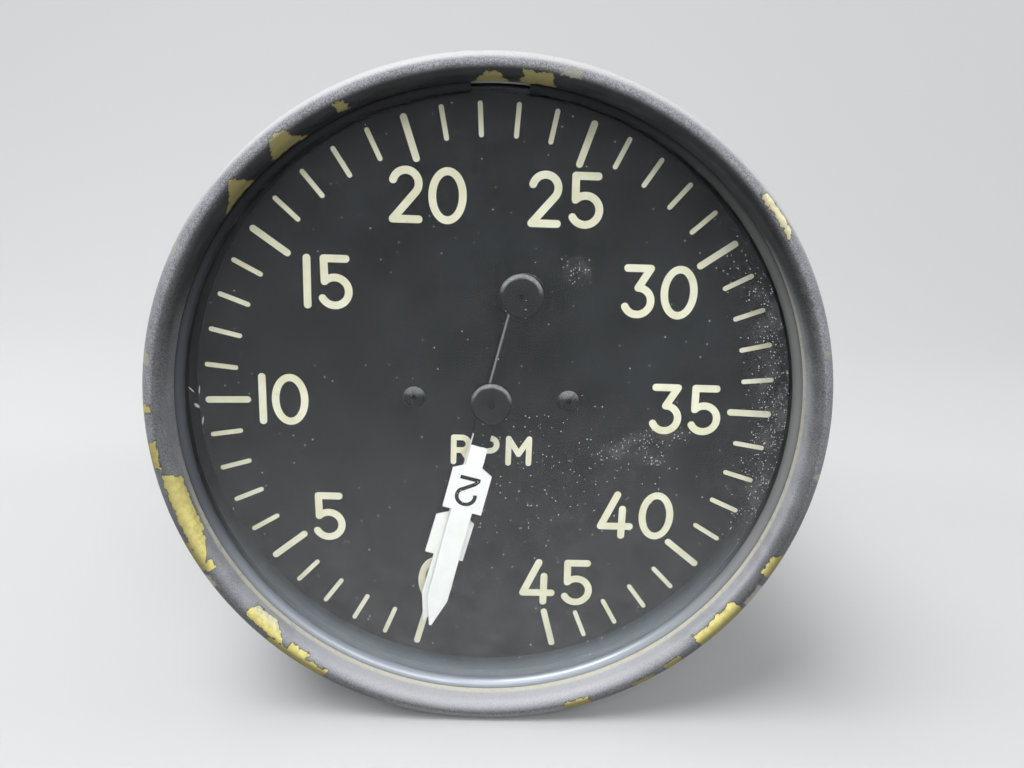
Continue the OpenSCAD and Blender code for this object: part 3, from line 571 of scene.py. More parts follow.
# %% Build a socket and copy it
SHELL, NECKED, BORE, PITCH, FLANGE = 7.9375, 7.7, 6.4, 1.05, 25.4
socket_outline = [(BORE, 81.1), (7.9, 81.1), (SHELL, 81.3), (SHELL, 87.5), (NECKED, 87.75), (NECKED, 88.6)]
for i in range(12):
    y = 88.6 + PITCH * i
    socket_outline += [(SHELL, y + 0.4), (SHELL, y + 0.55), (7.45, y + 0.95), (7.45, y + PITCH)]
socket_outline += [(NECKED, 101.5), (NECKED, 102.2), (7.35, 102.5), (6.75, 102.5), (BORE, 102.15)]
socket_outline += [(BORE, 81.1)]


def socket():
    """A square flange with a threaded shell, on the axis of the case."""
    pick()
    bpy.ops.mesh.primitive_cube_add(size=FLANGE * MM, location=(0, 86 * MM, 0), scale=(1, 2 / FLANGE, 1))
    flange = bpy.context.object
    bpy.ops.object.transform_apply()
    select_edges(flange, lambda a, b: abs(a.y - b.y) > MM)
    bpy.ops.mesh.bevel(offset=1.5 * MM, segments=6)
    close_up(30)
    break_edges(flange, 0.25)
    shell = turned("shell", socket_outline, steps=72, smooth=28)
    return joined([flange, shell], "socket")


for i, piece in enumerate(copied(socket(), [(s * SOCKET_X, 0, 0) for s in SIGNS]), start=1):
    piece.name = piece.data.name = f"socket_{i}"
    dress(piece, "instrument", "connector_shell", f"connector_shell_{i}")

# %% [markdown]
# ## Contact pins
# Three round pins stand in each socket, with rounded noses so that they find the plug, and their other
# ends reach into the case for the wires. One pin is turned, and its copies are joined.

# %% Turn the pins
PIN, PIN_CIRCLE = 0.8, 3.2
pin = turned("pin", dome(PIN, 97.5, 0.5, 6) + [(PIN, 78), (0, 78)], steps=24)
turns = [radians(turn) for turn in (90, 210, 330)]
pins = copied(pin, [(s * SOCKET_X + PIN_CIRCLE * cos(a), PIN_CIRCLE * sin(a), 0)
                    for s in SIGNS for a in turns])
dress(joined(pins, "contact_pin_set"), "instrument", "contact_plating", "connector_pins")

# %% [markdown]
# ## Shared effects
# Every finish is a small network of nodes on the pieces' own coordinates, in millimetres, so that
# grain and chips keep their real size on every piece.
# Four effects come back on many pieces, so each is a node group: the grain of sprayed paint, specks of
# dust, the fine rings that a lathe tool leaves, and a place on the dial read like a clock.
# A group could hold a whole shader, but it gives only masks and heights, and each finish decides what
# to do with them.

# %% Sprayed grain


def group(name, inputs, outputs):
    """Begins a node group with named sockets, and gives it with its two end nodes."""
    global net
    net = bpy.data.node_groups.new(name, "ShaderNodeTree")
    for label, kind in inputs.items():
        net.interface.new_socket(label, in_out="INPUT", socket_type="NodeSocket" + kind)
    for label in outputs:
        net.interface.new_socket(label, in_out="OUTPUT", socket_type="NodeSocketFloat")
    print("group", name, "gives", ", ".join(outputs))
    return net, net.nodes.new("NodeGroupInput").outputs, net.nodes.new("NodeGroupOutput").inputs


def times(*values):
    """Several values multiplied."""
    return in_turn("MULTIPLY", *values)


def noise(place, scale, detail, rough):
    """A cloudy value between 0 and 1."""
    return node("TexNoise", {"Vector": place, "Scale": scale, "Detail": detail,
                             "Roughness": rough}).outputs[0]


grain, got, give = group("sprayed_grain", {"Place": "Vector", "Per mm": "Float"}, ["Height", "Tone"])
wide = times(got["Per mm"], 0.07)
net.links.new(noise(got["Place"], got["Per mm"], 3.0, 0.6), give["Height"])
net.links.new(noise(got["Place"], wide, 3.0, 0.55), give["Tone"])

# %% Specks of dust


def step_up(value, low, high, bottom=0.0, top=1.0):
    """A soft step from one level to another as a value grows from low to high."""
    return node("MapRange", {"Value": value, "From Min": low, "From Max": high, "To Min": bottom,
                             "To Max": top}, interpolation_type="SMOOTHSTEP").outputs[0]


def minus(first, second):
    """One value less another."""
    return calc("SUBTRACT", first, second)


def split(place):
    """The x, y and z of a place."""
    return node("SeparateXYZ", {0: place}).outputs


sockets = {"Place": "Vector", "Per mm": "Float", "Share": "Float", "Size": "Float"}
specks, got, give = group("dust_specks", sockets, ["Mask"])
axes = split(got["Place"])
flat = node("CombineXYZ", {0: axes[0], 1: axes[2]}).outputs[0]
cells = node("TexVoronoi", {"Vector": flat, "Scale": got["Per mm"], "Randomness": 1.0},
             voronoi_dimensions="2D")
dice = node("SeparateColor", {"Color": cells.outputs["Color"]}).outputs
chosen = calc("LESS_THAN", dice[0], got["Share"])
reach = times(got["Size"], calc("MULTIPLY_ADD", dice[1], 0.8, 0.2))
near = minus(reach, cells.outputs["Distance"])
net.links.new(times(chosen, step_up(near, 0.0, 0.08)), give["Mask"])

# %% Rings from the lathe


def apart(x, z):
    """How far a place is from an axis, from its x and z."""
    flat = node("CombineXYZ", {0: x, 2: z}).outputs[0]
    return node("VectorMath", {0: flat}, operation="LENGTH").outputs["Value"]


def plus(*values):
    """Several values added."""
    return in_turn("ADD", *values)


lathe, got, give = group("lathe_rings", {"Place": "Vector", "Pitch": "Float"}, ["Height", "Tone"])
axes = split(got["Place"])
walk = plus(apart(axes[0], axes[2]), axes[1])
rings = node("TexNoise", {"W": calc("DIVIDE", walk, got["Pitch"]), "Scale": 1.0,
                          "Detail": 2.0}, noise_dimensions="1D")
net.links.new(rings.outputs[0], give["Height"])
net.links.new(noise(got["Place"], 0.35, 4.0, 0.5), give["Tone"])

# %% A place on the dial, read like a clock: degrees past six, distance, and how low it lies
clock, got, give = group("dial_clock", {"Place": "Vector"}, ["Around", "Radius", "Low"])
axes = split(got["Place"])
left, down = [times(axes[i], -1.0) for i in (0, 2)]
turn = calc("DEGREES", calc("ARCTAN2", left, down))
radius = apart(axes[0], axes[2])
net.links.new(calc("FLOORED_MODULO", turn, 360.0), give["Around"])
net.links.new(radius, give["Radius"])
net.links.new(calc("DIVIDE", down, larger(radius, 0.01)), give["Low"])

# %% [markdown]
# ## Case paint
# The case was sprayed with dark sandy paint over yellow primer. Handling has chipped it along the lip,
# where primer shows, and rubbed the crest grey. Dust lies in the lip's inner edge, on its lower slope
# and thinly along the top of the barrel, and the rims at the rear are worn too. Much of the grey on the
# lip is also painted light: it is paler where the lip looks up, at its sides and on the upper crest,
# and painted shade keeps it dark underneath and at the lower right. The primer is painted paler where
# it looks up and darker where it faces away, and the bore and groove are painted lighter.
# A chip is a patch between two clock angles and two places across the lip. A ragged edge comes from
# noise, and one group draws a patch, so that the list of chips can be read off the real lip with a
# protractor.

# %% One chip
ENDS = ("Around", "Across", "Ragged", "From", "To", "Inner", "Outer", "Left", "Right")
MM_PER_DEGREE = 0.7
flake, got, give = group("paint_flake", dict.fromkeys(ENDS, "Float"), ["Depth"])
inner = minus(got["Across"], got["Inner"])
outer = minus(got["Outer"], got["Across"])
start = times(minus(got["Around"], got["From"]), MM_PER_DEGREE)
start = minus(start, times(inner, got["Left"]))
stop = times(minus(got["To"], got["Around"]), MM_PER_DEGREE)
stop = minus(stop, times(inner, got["Right"]))
least = calc("MINIMUM", calc("MINIMUM", start, stop), calc("MINIMUM", inner, outer))
net.links.new(plus(least, got["Ragged"]), give["Depth"])

# %% List the chips: clock angles, places across the lip in mm from its crest, and the slant of both ends
CHIPS = [
    (30.5, 35.5, -0.3, 1.5, 0, 0), (34.8, 39.0, -0.95, 1.5, 0.2, 0), (38.5, 43.0, 0.1, 1.5, 0, 0),
    (43.5, 48.5, -2.1, 0.05, -1.2, -0.25), (65.0, 67.0, -1.8, 0.4, -1.9, 0),
    (59.2, 61.0, -0.9, 0.4, 0, 0), (66.3, 77.0, -2.4, 0.2, 0, -0.4), (59.5, 65.5, 0.2, 1.6, 0, 0),
    (79.6, 84.4, 0.0, 1.7, 0, 0.2), (89.6, 91.0, 0.1, 1.7, 0, 0), (126.5, 134.3, -3.0, -0.2, 1.35, 0.35),
    (138.6, 146.0, -3.0, 0.0, 0.55, 0.5), (152.6, 154.6, -2.1, -0.55, 0, 0),
    (175.5, 181.5, -3.3, -1.1, 0.5, 0.5), (183.2, 189.2, -3.0, -0.55, 0.1, 0.3),
    (227.2, 236.2, 0.0, 0.95, 0.8, 0.8), (295.2, 299.0, -0.4, 1.7, -0.4, -0.1),
    (306.5, 316.7, -0.95, 1.6, 0, 0), (321.0, 324.6, 0.1, 1.1, 0, 0), (327.0, 331.5, 0.3, 1.1, 0, 0),
    (339.6, 344.6, -0.15, 1.4, 0, 0),
]
SCUFFS = [(56.0, 58.6, 0.3, 1.6, 0, 0), (97.6, 99.8, 0.3, 1.7, 0, 0), (117.2, 119.4, 0.8, 1.9, 0, 0),
          (189.4, 192.6, -0.5, 0.5, 0, 0), (256.4, 257.4, 0.3, 1.7, 0, 0),
          (278.4, 279.5, 0.3, 1.7, 0, 0), (301.0, 305.6, 0.3, 1.5, 0, 0)]
print("the lip has", len(CHIPS), "chips and", len(SCUFFS), "scuffs")

# %% Start the case paint


def use(made, **sockets):
    """Places a group in a finish; a word break in a socket's name is written as _."""
    placed = net.nodes.new("ShaderNodeGroup")
    placed.node_tree = made
    for key, value in sockets.items():
        key = key.replace("_", " ")
        if isinstance(value, bpy.types.NodeSocket):
            net.links.new(value, placed.inputs[key])
        else:
            placed.inputs[key].default_value = value
    return placed.outputs


def finish(name, colour, roughness, metallic=0.0, specular=0.5):
    """Begins a finish with a start colour, keeps it by its name, and gives the place in millimetres."""
    global net
    finishes[name] = bpy.data.materials.new(name)
    finishes[name].use_nodes = True
    net = finishes[name].node_tree
    start = {"Base Color": (*colour, 1), "Roughness": roughness, "Metallic": metallic,
             "Specular IOR Level": specular}
    for key, value in start.items():
        net.nodes["Principled BSDF"].inputs[key].default_value = value
    print("finish", name, "is begun")
    place = node("TexCoord").outputs["Object"]
    return node("VectorMath", {0: place, "Scale": 1 / MM}, operation="SCALE").outputs[0]


def sprayed(place, per_mm):
    """The sprayed grain with so many grains per millimetre."""
    return use(grain, Place=place, Per_mm=per_mm)


finishes = {}
place = finish("case_paint", (0.1, 0.1, 0.115), 0.45, specular=0.3)
where = use(clock, Place=place)
around, radius, low = where["Around"], where["Radius"], where["Low"]
sand = sprayed(place, 5.0)
depth = split(place)[1]
outwards, forwards = minus(radius, LIP_RADIUS), minus(LIP_DEPTH, depth)
lean = calc("ARCTAN2", outwards, forwards)
across = times(lean, LIP_ROLL)
upward = times(times(low, -1.0), calc("SINE", lean))

# %% Chip it


def patches(rows):
    """The deepest of many patches: above 0 inside one of them."""
    depths = [use(flake, Around=around, Across=across, Ragged=ragged, From=first, To=last,
                  Inner=inside, Outer=outside, Left=left, Right=right)["Depth"]
              for first, last, inside, outside, left, right in rows]
    return larger(*depths)


rag = noise(place, 1.4, 5.0, 0.6)
ragged = times(minus(rag, 0.5), 1.4)
chipped = patches(CHIPS)
chip = step_up(chipped, -0.03, 0.05)
chip_rim = times(step_up(chipped, -0.16, -0.03), minus(1.0, chip))
scuff = step_up(patches(SCUFFS), -0.1, 0.2)
print("case paint has", len(net.nodes), "nodes so far")

# %% Dust, and painted light, where the lip looks up and at its sides


def band(value, rise, fall):
    """A soft band: it rises over one stretch of a value and falls over another."""
    return times(step_up(value, *rise), step_up(value, *fall))


grit = noise(place, 7.0, 2.0, 0.7)
coarse = times(minus(grit, 0.5), 0.5)
# Dust and painted light: the inner slope is painted lighter at the right side and, less, at the left.
right, left = band(around, (212, 264), (330, 295)), band(around, (70, 90), (125, 100))
side_light_and_dust = calc("MULTIPLY_ADD", right, 0.72, times(left, 0.3))
side_light_and_dust = times(side_light_and_dust, step_up(across, -0.8, -2.6))
# Dust and painted light: the lip is painted lighter where it looks up.
dust_and_light = step_up(plus(side_light_and_dust, upward, coarse), -0.42, 0.8)
dust_and_light = times(dust_and_light, step_up(depth, 0.6, 0.2), step_up(across, 2.6, 1.4, 0.3, 1.0))
topside = times(step_up(low, -0.5, -1.0), step_up(grit, 0.4, 0.65, 0.01, 0.07),
                step_up(radius, 39.2, 39.38))
dust_and_light = larger(dust_and_light, topside)
# The grey on the lower lip is dust and painted light.
print("dust lies on the lower lip and thinly on the barrel's topside")

# %% Wear and painted highlight on the crest, and painted shade under it
# Wear and painted highlight: the crest is rubbed grey, and painted brighter on the upper half.
wear_and_highlight = times(band(across, (-0.65, 0.25), (3.0, 2.2)),
             step_up(grit, 0.36, 0.62, 0.3, 0.56), step_up(low, -0.8, 0.75, 1.5, 0.62))
# Painted shade: less grey on the underside of the lower lip, and at the lower right.
painted_underside_shade = times(step_up(across, 0.1, 0.6), step_up(low, 0.05, 0.35), step_up(low, 0.93, 0.975, 0.45, -0.35))
painted_shade_lower_right = times(band(around, (278, 292), (320, 308)), band(across, (-1.6, -0.7), (0.5, 0.1, 0.0, 0.45)))
outside_painted_shade = minus(1.0, painted_shade_lower_right)
wear_and_highlight = times(wear_and_highlight, minus(1.0, painted_underside_shade), outside_painted_shade)
dust_and_light = times(dust_and_light, outside_painted_shade)
# Less grey underneath and at the lower right is painted shade.
print("the crest is worn, less so underneath and at the lower right")

# %% Dust and painted light at the sides, dust in the inner edge, wear at the rear, painted light inside
# Dust and painted light: the inner slope is a little lighter at the right side and at the left.
side_sheen_and_dust = larger(band(around, (188, 225, 0.0, 0.1), (300, 270)),
              band(around, (140, 118, 0.0, 0.05), (80, 100)))
side_sheen_and_dust = times(side_sheen_and_dust, band(across, (-1.0, -1.7), (-3.7, -3.5)))
dust_and_light = larger(dust_and_light, side_sheen_and_dust)
line = plus(step_up(around, 228, 266), step_up(around, 85, 65))
dust = times(band(across, (-2.65, -3.0), (-3.65, -3.4)), line, step_up(rag, 0.28, 0.52, 0.45, 1.0))
seam = band(depth, (81.2, 81.75), (82.4, 82.1))
rear = times(step_up(radius, 38.5, 38.95), step_up(depth, 84.0, 84.5))
rear = times(larger(seam, rear), step_up(rag, 0.57, 0.66))
# Painted light: the bore is painted pale slate at the bottom, and the groove lighter all round against its
# shade.
inside = times(band(depth, (-2.9, -2.7), (5.2, 5.0)), step_up(radius, 39.2, 39.1))
painted_light_bore = times(inside, step_up(low, 0.2, 0.95))
groove_painted_light = times(inside, step_up(depth, -1.0, -1.2, 0.0, 0.6))
print("case paint has", len(net.nodes), "nodes so far")

# %% Colour of the case


def fade(amount, first, second):
    """One colour fading into another; a colour is a link, or typed as red, green and blue."""
    pair = [(*colour, 1) if isinstance(colour, tuple) else colour for colour in (first, second)]
    return node("Mix", {0: amount, 6: pair[0], 7: pair[1]}, data_type="RGBA").outputs[2]


def spread(cloudy, low, high):
    """A value that wanders between two levels with a noise."""
    return step_up(cloudy, 0.3, 0.7, low, high)


patchy = spread(sand["Tone"], 0.0, 1.0)
grey = fade(patchy, (0.36, 0.37, 0.40), (0.47, 0.48, 0.51))
# Painted highlight: the grey is paler where the upper lip looks up.
painted_top_sheen = times(step_up(upward, 0.25, 0.6), step_up(low, -0.2, -0.7))
grey = fade(painted_top_sheen, grey, (0.66, 0.67, 0.68))
# Painted light: the grey is paler at the bottom of the lip.
grey = fade(step_up(low, 0.7, 0.95), grey, (0.52, 0.53, 0.56))
grey = fade(step_up(grit, 0.42, 0.62, 0.0, 0.25), grey, (0.66, 0.66, 0.67))
grey = fade(step_up(grit, 0.45, 0.33, 0.0, 0.25), grey, (0.165, 0.165, 0.18))
tone = fade(patchy, (0.009, 0.0095, 0.01), (0.018, 0.019, 0.0205))
tone = fade(larger(dust_and_light, wear_and_highlight), tone, grey)
# The groove and bore colours here are painted light.
for mask, share, colour in ((groove_painted_light, 1.0, (0.32, 0.32, 0.33)), (painted_light_bore, 1.0, (0.17, 0.19, 0.215)),
                            (rear, 0.8, (0.34, 0.3, 0.15)), (scuff, 0.7, (0.36, 0.34, 0.26)),
                            (dust, 1.0, (0.7, 0.675, 0.57)), (chip_rim, 0.75, (0.03, 0.028, 0.025))):
    tone = fade(times(mask, share), tone, colour)
# Painted light and shade: the primer is paler where it looks up and on the upper lip, olive-dark where it
# faces away.
primer_painted_light = larger(step_up(upward, 0.35, 0.65), step_up(low, 0.0, -0.4))
yellow = fade(primer_painted_light, (0.92, 0.82, 0.29), (0.96, 0.91, 0.6))
primer = fade(step_up(upward, -0.25, 0.35), (0.215, 0.19, 0.075), yellow)
primer = fade(step_up(rag, 0.6, 0.38, 0.0, 0.24), primer, (0.2, 0.16, 0.055))
tone = fade(chip, tone, primer)
# The grey is dust, wear and painted light, and the primer carries painted light and shade.
print("black paint, grey dust, yellow primer")

# %% Gloss and relief of the case


def feed(key, value):
    """Links a value to a socket of the shader of the finish at hand."""
    net.links.new(value, net.nodes["Principled BSDF"].inputs[key])


def lay_on(colour, gloss, height, depth):
    """Gives a finish its colour, its roughness and a relief so many millimetres deep."""
    feed("Base Color", colour)
    feed("Roughness", gloss)
    feed("Normal", node("Bump", {"Height": height, "Strength": 1.0, "Distance": depth * MM}).outputs[0])


matt = times(larger(chip, dust), 0.7)
gloss = larger(spread(sand["Tone"], 0.36, 0.5), matt)
height = minus(times(sand["Height"], 0.45), chip)
lay_on(tone, gloss, height, 0.06)
print("case paint has", len(net.nodes), "nodes")

# %% [markdown]
# ## Wire, spacer and rubber
# The wire is black. Its lower half is pale steel: the pale colour there is painted light for its lit side,
# and the same mask turns the shader's Metallic value up, so it also throws a bright line under the
# glass. Its right side is dusty.
# The spacer is a satin slate colour with painted light on its lower side, which fades into painted shade
# towards the dial. The rubber under the glass is dead matt, with painted light on its lower side.

# %% Finish the wire
place = finish("ring_paint", (0.05, 0.06, 0.075), 0.2, specular=0.15)
sand, where = sprayed(place, 3.0), use(clock, Place=place)
# Painted light: the lower half of the wire is painted pale and made partly metallic, the top stays black.
painted_light_mask = plus(step_up(where["Low"], -0.7, 0.2, 0.0, 0.2), step_up(where["Low"], 0.25, 0.95, 0.0, 0.8))
tone = fade(painted_light_mask, (0.005, 0.0055, 0.0065), (0.5, 0.545, 0.61))
tone = fade(band(where["Around"], (200, 265, 0.0, 0.45), (335, 300)), tone, (0.42, 0.42, 0.4))
tone = fade(times(sand["Tone"], 0.2), tone, (0.05, 0.057, 0.066))
feed("Metallic", times(painted_light_mask, 0.4))
lay_on(tone, spread(sand["Tone"], 0.33, 0.4), sand["Tone"], 0.001)

# %% Finish the spacer
place = finish("spacer_paint", (0.13, 0.16, 0.2), 0.4)
sand = sprayed(place, 4.0)
depth = split(place)[1]
# Painted light and shade: pale slate only on the lower side, darker towards the dial and elsewhere.
painted_lit_bottom = step_up(use(clock, Place=place)["Low"], 0.2, 0.95)
painted_light_slate = fade(step_up(depth, 1.0, 3.9), (0.19, 0.22, 0.255), (0.055, 0.066, 0.077))
painted_light_slate = fade(painted_lit_bottom, (0.016, 0.018, 0.02), painted_light_slate)
painted_light_slate = fade(times(sand["Tone"], 0.3), painted_light_slate, (0.03, 0.035, 0.04))
lay_on(painted_light_slate, spread(sand["Tone"], 0.34, 0.46), sand["Height"], 0.004)

# %% Finish the rubber
place = finish("rubber_seal", (0.1, 0.11, 0.125), 0.85)
sand = sprayed(place, 8.0)
# Painted light: the rubber is pale on its lower side and dark elsewhere.
painted_lit_bottom = step_up(use(clock, Place=place)["Low"], 0.2, 0.95)
tone = fade(painted_lit_bottom, (0.03, 0.031, 0.033), (0.22, 0.245, 0.275))
tone = fade(times(sand["Tone"], 0.2), tone, (0.03, 0.03, 0.03))
lay_on(tone, spread(sand["Height"], 0.75, 0.92), sand["Height"], 0.01)

# %% [markdown]
# ## Glass and its dust
# The glass is clear and slightly bloomed, so it throws back little light. Light that falls through it
# onto the dial would be lost in noise, so for shadow rays the glass counts as clear.
# Years of dust lie on the right side and in smears, specks lie all over, a faint pale veil grows
# towards the bottom, and a few scratches cross the left edge. They go on a film just in front of the
# glass whose Alpha is the dust, because glass itself can't carry an opaque speck.

# %% Clear the glass
place = finish("cover_glass", (0.97, 0.985, 0.98), 0.015)
shader = net.nodes["Principled BSDF"]
shader.inputs["Transmission Weight"].default_value = 1.0
shader.inputs["IOR"].default_value = 1.25
haze = sprayed(place, 0.9)
feed("Roughness", step_up(haze["Tone"], 0.4, 0.8, 0.0, 0.04))
clear = node("BsdfTransparent", {"Color": (0.96, 0.975, 0.97, 1)})
ray = node("LightPath").outputs["Is Shadow Ray"]
show_either(ray, shader, clear, "Material Output")

# %% Lay a film on the glass, and find where its dust lies


def project(place, x, z):
    """How far a place lies along a direction across the dial."""
    return node("VectorMath", {0: place, 1: (x, 0, z)}, operation="DOT_PRODUCT").outputs["Value"]


def spot(x, z, wide, high, turn=0):
    """A soft oval patch on the glass, turned so many degrees against the clock."""
    c, s = cos(radians(turn)), sin(radians(turn))
    squares = []
    for a, b, reach in ((c, s, wide), (-s, c, high)):
        off = minus(project(place, a, b), a * x + b * z)
        off = calc("DIVIDE", off, reach)
        squares.append(times(off, off))
    return step_up(plus(*squares), 1.0, 0.1)


film = turned("glass_dust", [(0, -1.236), (37.1, -1.236), (37.1, -1.216), (0, -1.216)], steps=96)
dress(film, "instrument", "cover_glass")
# Each patch has its x and z, half its width and height, and its turn.
SMEARS = [(19.4, -4.0, 7.4, 2.0, 15), (9.8, 17.4, 2.2, 2.2), (20.9, -6.1, 2.4, 1.0, 10)]
SCRATCHES = [(-36.75, 1.5, 0.66, 0.11, -45), (-35.76, 1.5, 0.75, 0.1, 84), (-36.17, -0.52, 0.5, 0.26, -41),
             (-35.55, -2.4, 0.75, 0.12, 80)]
place = finish("glass_dust", (0.62, 0.6, 0.55), 0.9)
where = use(clock, Place=place)
edge = band(where["Around"], (222, 255), (305, 280))
edge = times(step_up(where["Radius"], 31.0, 36.5), edge)
smear = larger(*[spot(*row) for row in SMEARS])
scratch = larger(*[spot(*row) for row in SCRATCHES])
zone = larger(edge, times(smear, 0.75))
print("dust lies at the right edge and in", len(SMEARS), "smears, with", len(SCRATCHES), "scratches")

# %% Scatter the dust
share = calc("MULTIPLY_ADD", spot(8, -10, 17, 13), 0.04, 0.005)
share = calc("MULTIPLY_ADD", zone, 0.24, share)
small = use(specks, Place=place, Per_mm=4.2, Share=share, Size=0.38)["Mask"]
share = times(zone, 0.12)
thick = use(specks, Place=place, Per_mm=2.6, Share=share, Size=0.28)["Mask"]
cloud = noise(place, 0.5, 6.0, 0.7)
streaks = times(zone, step_up(cloud, 0.42, 0.62, 0.02, 0.08))
height = split(place)[2]
# The film grows faintly paler and more opaque towards the bottom.
haze = plus(streaks, step_up(height, 10.0, -37.0, 0.006, 0.09))
veil = times(step_up(cloud, 0.35, 0.7, 0.6, 0.9), haze)
dots = times(larger(thick, small), 0.85)
alpha = larger(dots, veil, times(scratch, 0.7))
feed("Alpha", alpha)
feed("Base Color", fade(cloud, (0.52, 0.53, 0.53), (0.74, 0.75, 0.75)))
print("glass dust has", len(net.nodes), "nodes")

# %% [markdown]
# ## Dial, marks and black hardware
# The dial is matt black with a dry, slightly speckled surface, and its marks are cream paint that has
# yellowed. Hubs, weights and dial screws share a satin black with a painted grey highlight on their
# upper rims and painted shade in their middle. One recipe serves them all, and each round piece tells
# it where its middle is.

# %% Paint the dial
place = finish("dial_black", (0.012, 0.0125, 0.014), 0.7, specular=0.1)
sand = sprayed(place, 2.4)
fleck = use(specks, Place=place, Per_mm=1.7, Share=0.03, Size=0.12)["Mask"]
speckle = calc("MULTIPLY_ADD", sand["Height"], 0.6, times(sand["Tone"], 0.4))
tone = fade(spread(speckle, 0.0, 1.0), (0.005, 0.006, 0.007), (0.025, 0.028, 0.032))
tone = fade(times(fleck, 0.45), tone, (0.3, 0.3, 0.28))
lay_on(tone, spread(sand["Height"], 0.62, 0.78), sand["Height"], 0.0012)

# %% Paint the marks
place = finish("dial_marks", (0.79, 0.76, 0.57), 0.65)
sand = sprayed(place, 5.0)
tone = fade(spread(sand["Tone"], 0.0, 1.0), (0.74, 0.7, 0.5), (0.84, 0.81, 0.64))
tone = fade(step_up(sand["Height"], 0.62, 0.8, 0.0, 0.35), tone, (0.5, 0.47, 0.33))
lay_on(tone, spread(sand["Height"], 0.55, 0.75), sand["Height"], 0.01)

# %% Blacken the hardware
NO_RIM = 1e6


def black_with_painted_highlight(name, x=0.0, z=0.0, radius=NO_RIM, rise=(0.0, 1.6), wear_and_highlight=0.85):
    """Satin black with a painted highlight on the upper rim of a round piece about x (on either side) and
    z.
    """
    place = finish(name, (0.008, 0.008, 0.009), 0.35, specular=0.15)
    sand = sprayed(place, 7.0)
    axes = split(place)
    beside = minus(calc("ABSOLUTE", axes[0]), x)
    above = minus(axes[2], z)
    away = calc("MULTIPLY_ADD", sand["Tone"], 0.4, apart(beside, above))
    # Painted highlight: grey on the upper rim only.
    painted_highlight_rim = times(step_up(away, radius - 0.35, radius + 0.1), step_up(above, *rise),
                step_up(sand["Height"], 0.36, 0.58, 0.4, 1.15))
    tone = fade(sand["Tone"], (0.006, 0.0065, 0.0075), (0.014, 0.0145, 0.016))
    tone = fade(times(painted_highlight_rim, wear_and_highlight), tone, (0.33, 0.34, 0.35))
    # Painted shade: a small spot in the middle of a round piece is painted nearly black.
    sunk = step_up(away, 0.62, 0.5)
    tone = fade(sunk, tone, (0.0005, 0.0005, 0.0005))
    gloss = larger(spread(sand["Tone"], 0.28, 0.42), sunk)
    lay_on(tone, gloss, sand["Height"], 0.003)


black_with_painted_highlight("hardware_black")
black_with_painted_highlight("cap_black", radius=HUB)
black_with_painted_highlight("screw_black", x=DIAL_SCREW_X, radius=0.5, rise=(0.1, 1.1), wear_and_highlight=0.58)
black_with_painted_highlight("bob_1_black", *pointing(REST_1, TAIL, 0), radius=WEIGHT)
black_with_painted_highlight("bob_2_black", *pointing(REST_2, TAIL, 0), radius=2.6)

# %% [markdown]
# ## Paint of the hands
# A hand is black round the hub and on its tail, and white from the neck to the tip. The edge of the
# white is a brush line square to the hand, so it is found from how far along the hand a place lies. One
# edge of the tail carries a painted highlight, a thin grey line.

# %% Paint the hands


def hand_paint(name, angle, starts):
    """White from some distance along a hand, and black before."""
    place = finish(name, (0.9, 0.9, 0.88), 0.5, specular=0.12)
    along = project(place, *pointing(angle, 1, 0))
    across = project(place, *pointing(angle, 0, 1))
    sand = sprayed(place, 4.0)
    wobble = times(minus(sand["Height"], 0.5), 0.25)
    edge = plus(along, wobble)
    white = fade(sand["Tone"], (0.85, 0.85, 0.83), (0.92, 0.92, 0.91))
    black = fade(sand["Tone"], (0.004, 0.004, 0.005), (0.012, 0.012, 0.013))
    # Painted highlight: a thin grey line along one edge of the tail.
    painted_light_mask = step_up(calc("MULTIPLY_ADD", sand["Height"], 0.3, across), 0.86, 0.98)
    painted_light_mask = times(painted_light_mask, band(along, (-2.4, -2.8), (-11.9, -11.6)), 0.8)
    black = fade(painted_light_mask, black, (0.24, 0.245, 0.25))
    tone = fade(step_up(edge, starts - 0.06, starts + 0.06), black, white)
    lay_on(tone, spread(sand["Tone"], 0.4, 0.55), sand["Height"], 0.01)


hand_paint("hand_1_paint", REST_1, starts=4.6)
hand_paint("hand_2_paint", REST_2, starts=5.85)

# %% [markdown]
# ## Metals of the movement
# Behind the dial are plates, gears, bushes, drag cups and motors. They are bare metals, which differ in
# colour, in how deep the tool marks are and in how dull they have become, so one recipe with different
# numbers serves them all.

# %% Mix the metals: dark and bright colour, roughness, pitch and depth of the tool rings


def metal(name, dark, bright, rough, pitch, marks):
    """Bare metal with tool rings, stains and uneven gloss."""
    place = finish(name, bright, rough, metallic=1.0)
    rings = use(lathe, Place=place, Pitch=pitch)
    tone = fade(step_up(rings["Tone"], 0.3, 0.65), dark, bright)
    gloss = step_up(rings["Height"], 0.25, 0.75, rough - 0.07, rough + 0.1)
    lay_on(tone, gloss, rings["Height"], marks)


METALS = {
    "brass": ((0.50, 0.36, 0.13), (0.74, 0.58, 0.27), 0.3, 0.12, 0.004),
    "bronze_bush": ((0.34, 0.21, 0.09), (0.52, 0.35, 0.17), 0.42, 0.09, 0.006),
    "steel": ((0.42, 0.42, 0.43), (0.62, 0.62, 0.63), 0.32, 0.08, 0.004),
    "spring_steel": ((0.10, 0.14, 0.26), (0.2, 0.27, 0.45), 0.25, 0.05, 0.002),
    "soft_iron": ((0.22, 0.215, 0.21), (0.38, 0.38, 0.39), 0.45, 0.15, 0.006),
    "aluminium": ((0.62, 0.63, 0.64), (0.80, 0.81, 0.82), 0.3, 0.14, 0.004),
    "copper_winding": ((0.36, 0.13, 0.045), (0.62, 0.26, 0.1), 0.35, 0.22, 0.03),
    "contact_plating": ((0.70, 0.52, 0.2), (0.9, 0.73, 0.36), 0.22, 0.1, 0.002),
    "connector_shell": ((0.47, 0.48, 0.44), (0.57, 0.58, 0.54), 0.34, 0.1, 0.003),
}
for name, values in METALS.items():
    metal(name, *values)

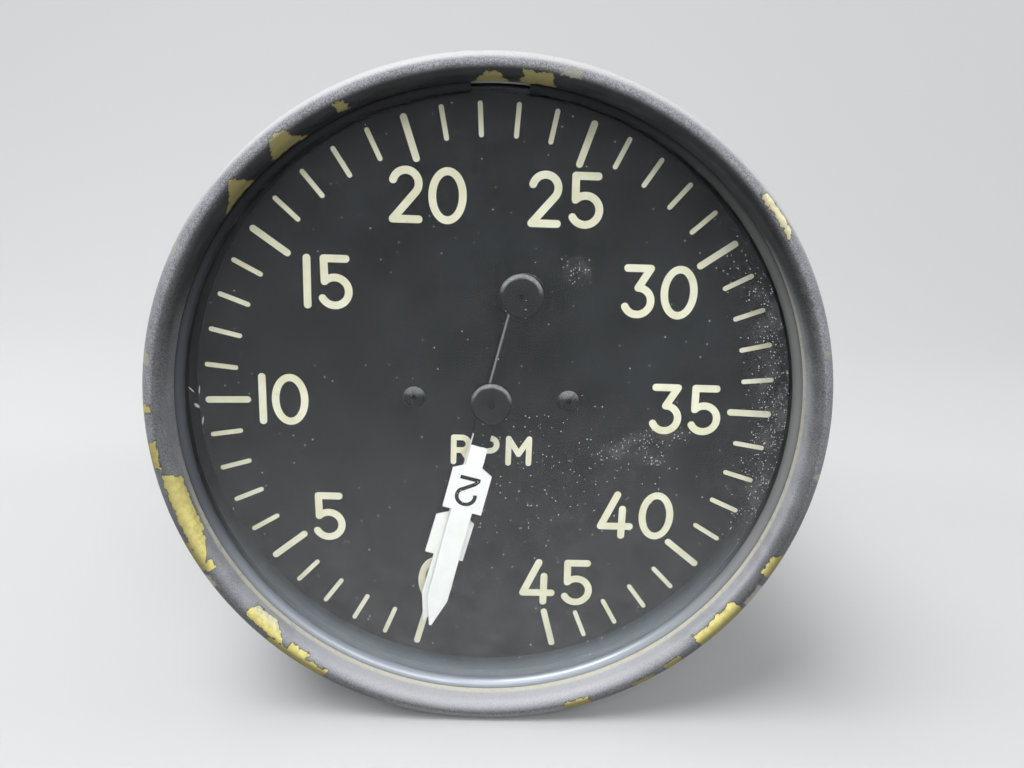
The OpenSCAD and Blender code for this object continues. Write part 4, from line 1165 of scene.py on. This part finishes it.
# %% [markdown]
# ## Resin of the sockets
# The pins are moulded into dark brown resin with fine mould grain. It has no metal in it, so only
# colour, gloss and a shallow relief change over it.

# %% Mould the resin
place = finish("insert_resin", (0.07, 0.04, 0.024), 0.5)
sand = sprayed(place, 3.0)
tone = fade(sand["Tone"], (0.045, 0.026, 0.016), (0.11, 0.065, 0.04))
lay_on(tone, spread(sand["Height"], 0.42, 0.6), sand["Height"], 0.01)

# %% [markdown]
# ## Give every piece its finish
# Solids that stay, such as the dial and the movement, take the finish that the record names for them.
# New pieces take the finish of their slot, except a few such as the hands and the film of dust, which
# have their own.
# The floor gets a plain pale paint with a trace of unevenness. It keeps the instrument's shadow close
# by, and fades into the pale air further off, so that no dark horizon stands behind the instrument from
# any side.

# %% Hand out the finishes
OWN = {"hand_1_sheet": "hand_1_paint", "hand_2_sheet": "hand_2_paint", "glass_dust": "glass_dust",
       "hand_2_cap": "cap_black", "dial_screw_pair": "screw_black", "hand_1_bob": "bob_1_black",
       "hand_2_bob": "bob_2_black"}
for part in frame["record"]["subparts"]:
    look = finishes.get(part["material_slot"], finishes["hardware_black"])
    for holder in frame["nodes"][part["node"]].material_slots:
        holder.material = look
for piece in bpy.data.objects:
    if piece.type == "MESH" and "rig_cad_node" not in piece and piece is not floor:
        piece.data.materials.clear()
        piece.data.materials.append(finishes[OWN.get(piece.name, piece["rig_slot"])])
print(len(finishes), "finishes are handed out,", len(OWN), "of them to a single piece")

# %% Paint the floor
place = finish("floor_paint", (0.7, 0.7, 0.71), 0.85)
cloud = noise(place, 0.004, 2.0, 0.5)
feed("Base Color", fade(cloud, (0.69, 0.70, 0.71), (0.73, 0.73, 0.74)))
away = node("VectorMath", {0: place}, operation="LENGTH").outputs["Value"]
far = times(step_up(away, 250.0, 900.0), seen())
pale = node("Emission", {"Color": PALE, "Strength": PALE_LEVEL})
show_either(far, net.nodes["Principled BSDF"], pale, "Material Output")
floor.data.materials.clear()
floor.data.materials.append(finishes["floor_paint"])
print("the floor is painted pale, and far away it is as pale as the air")
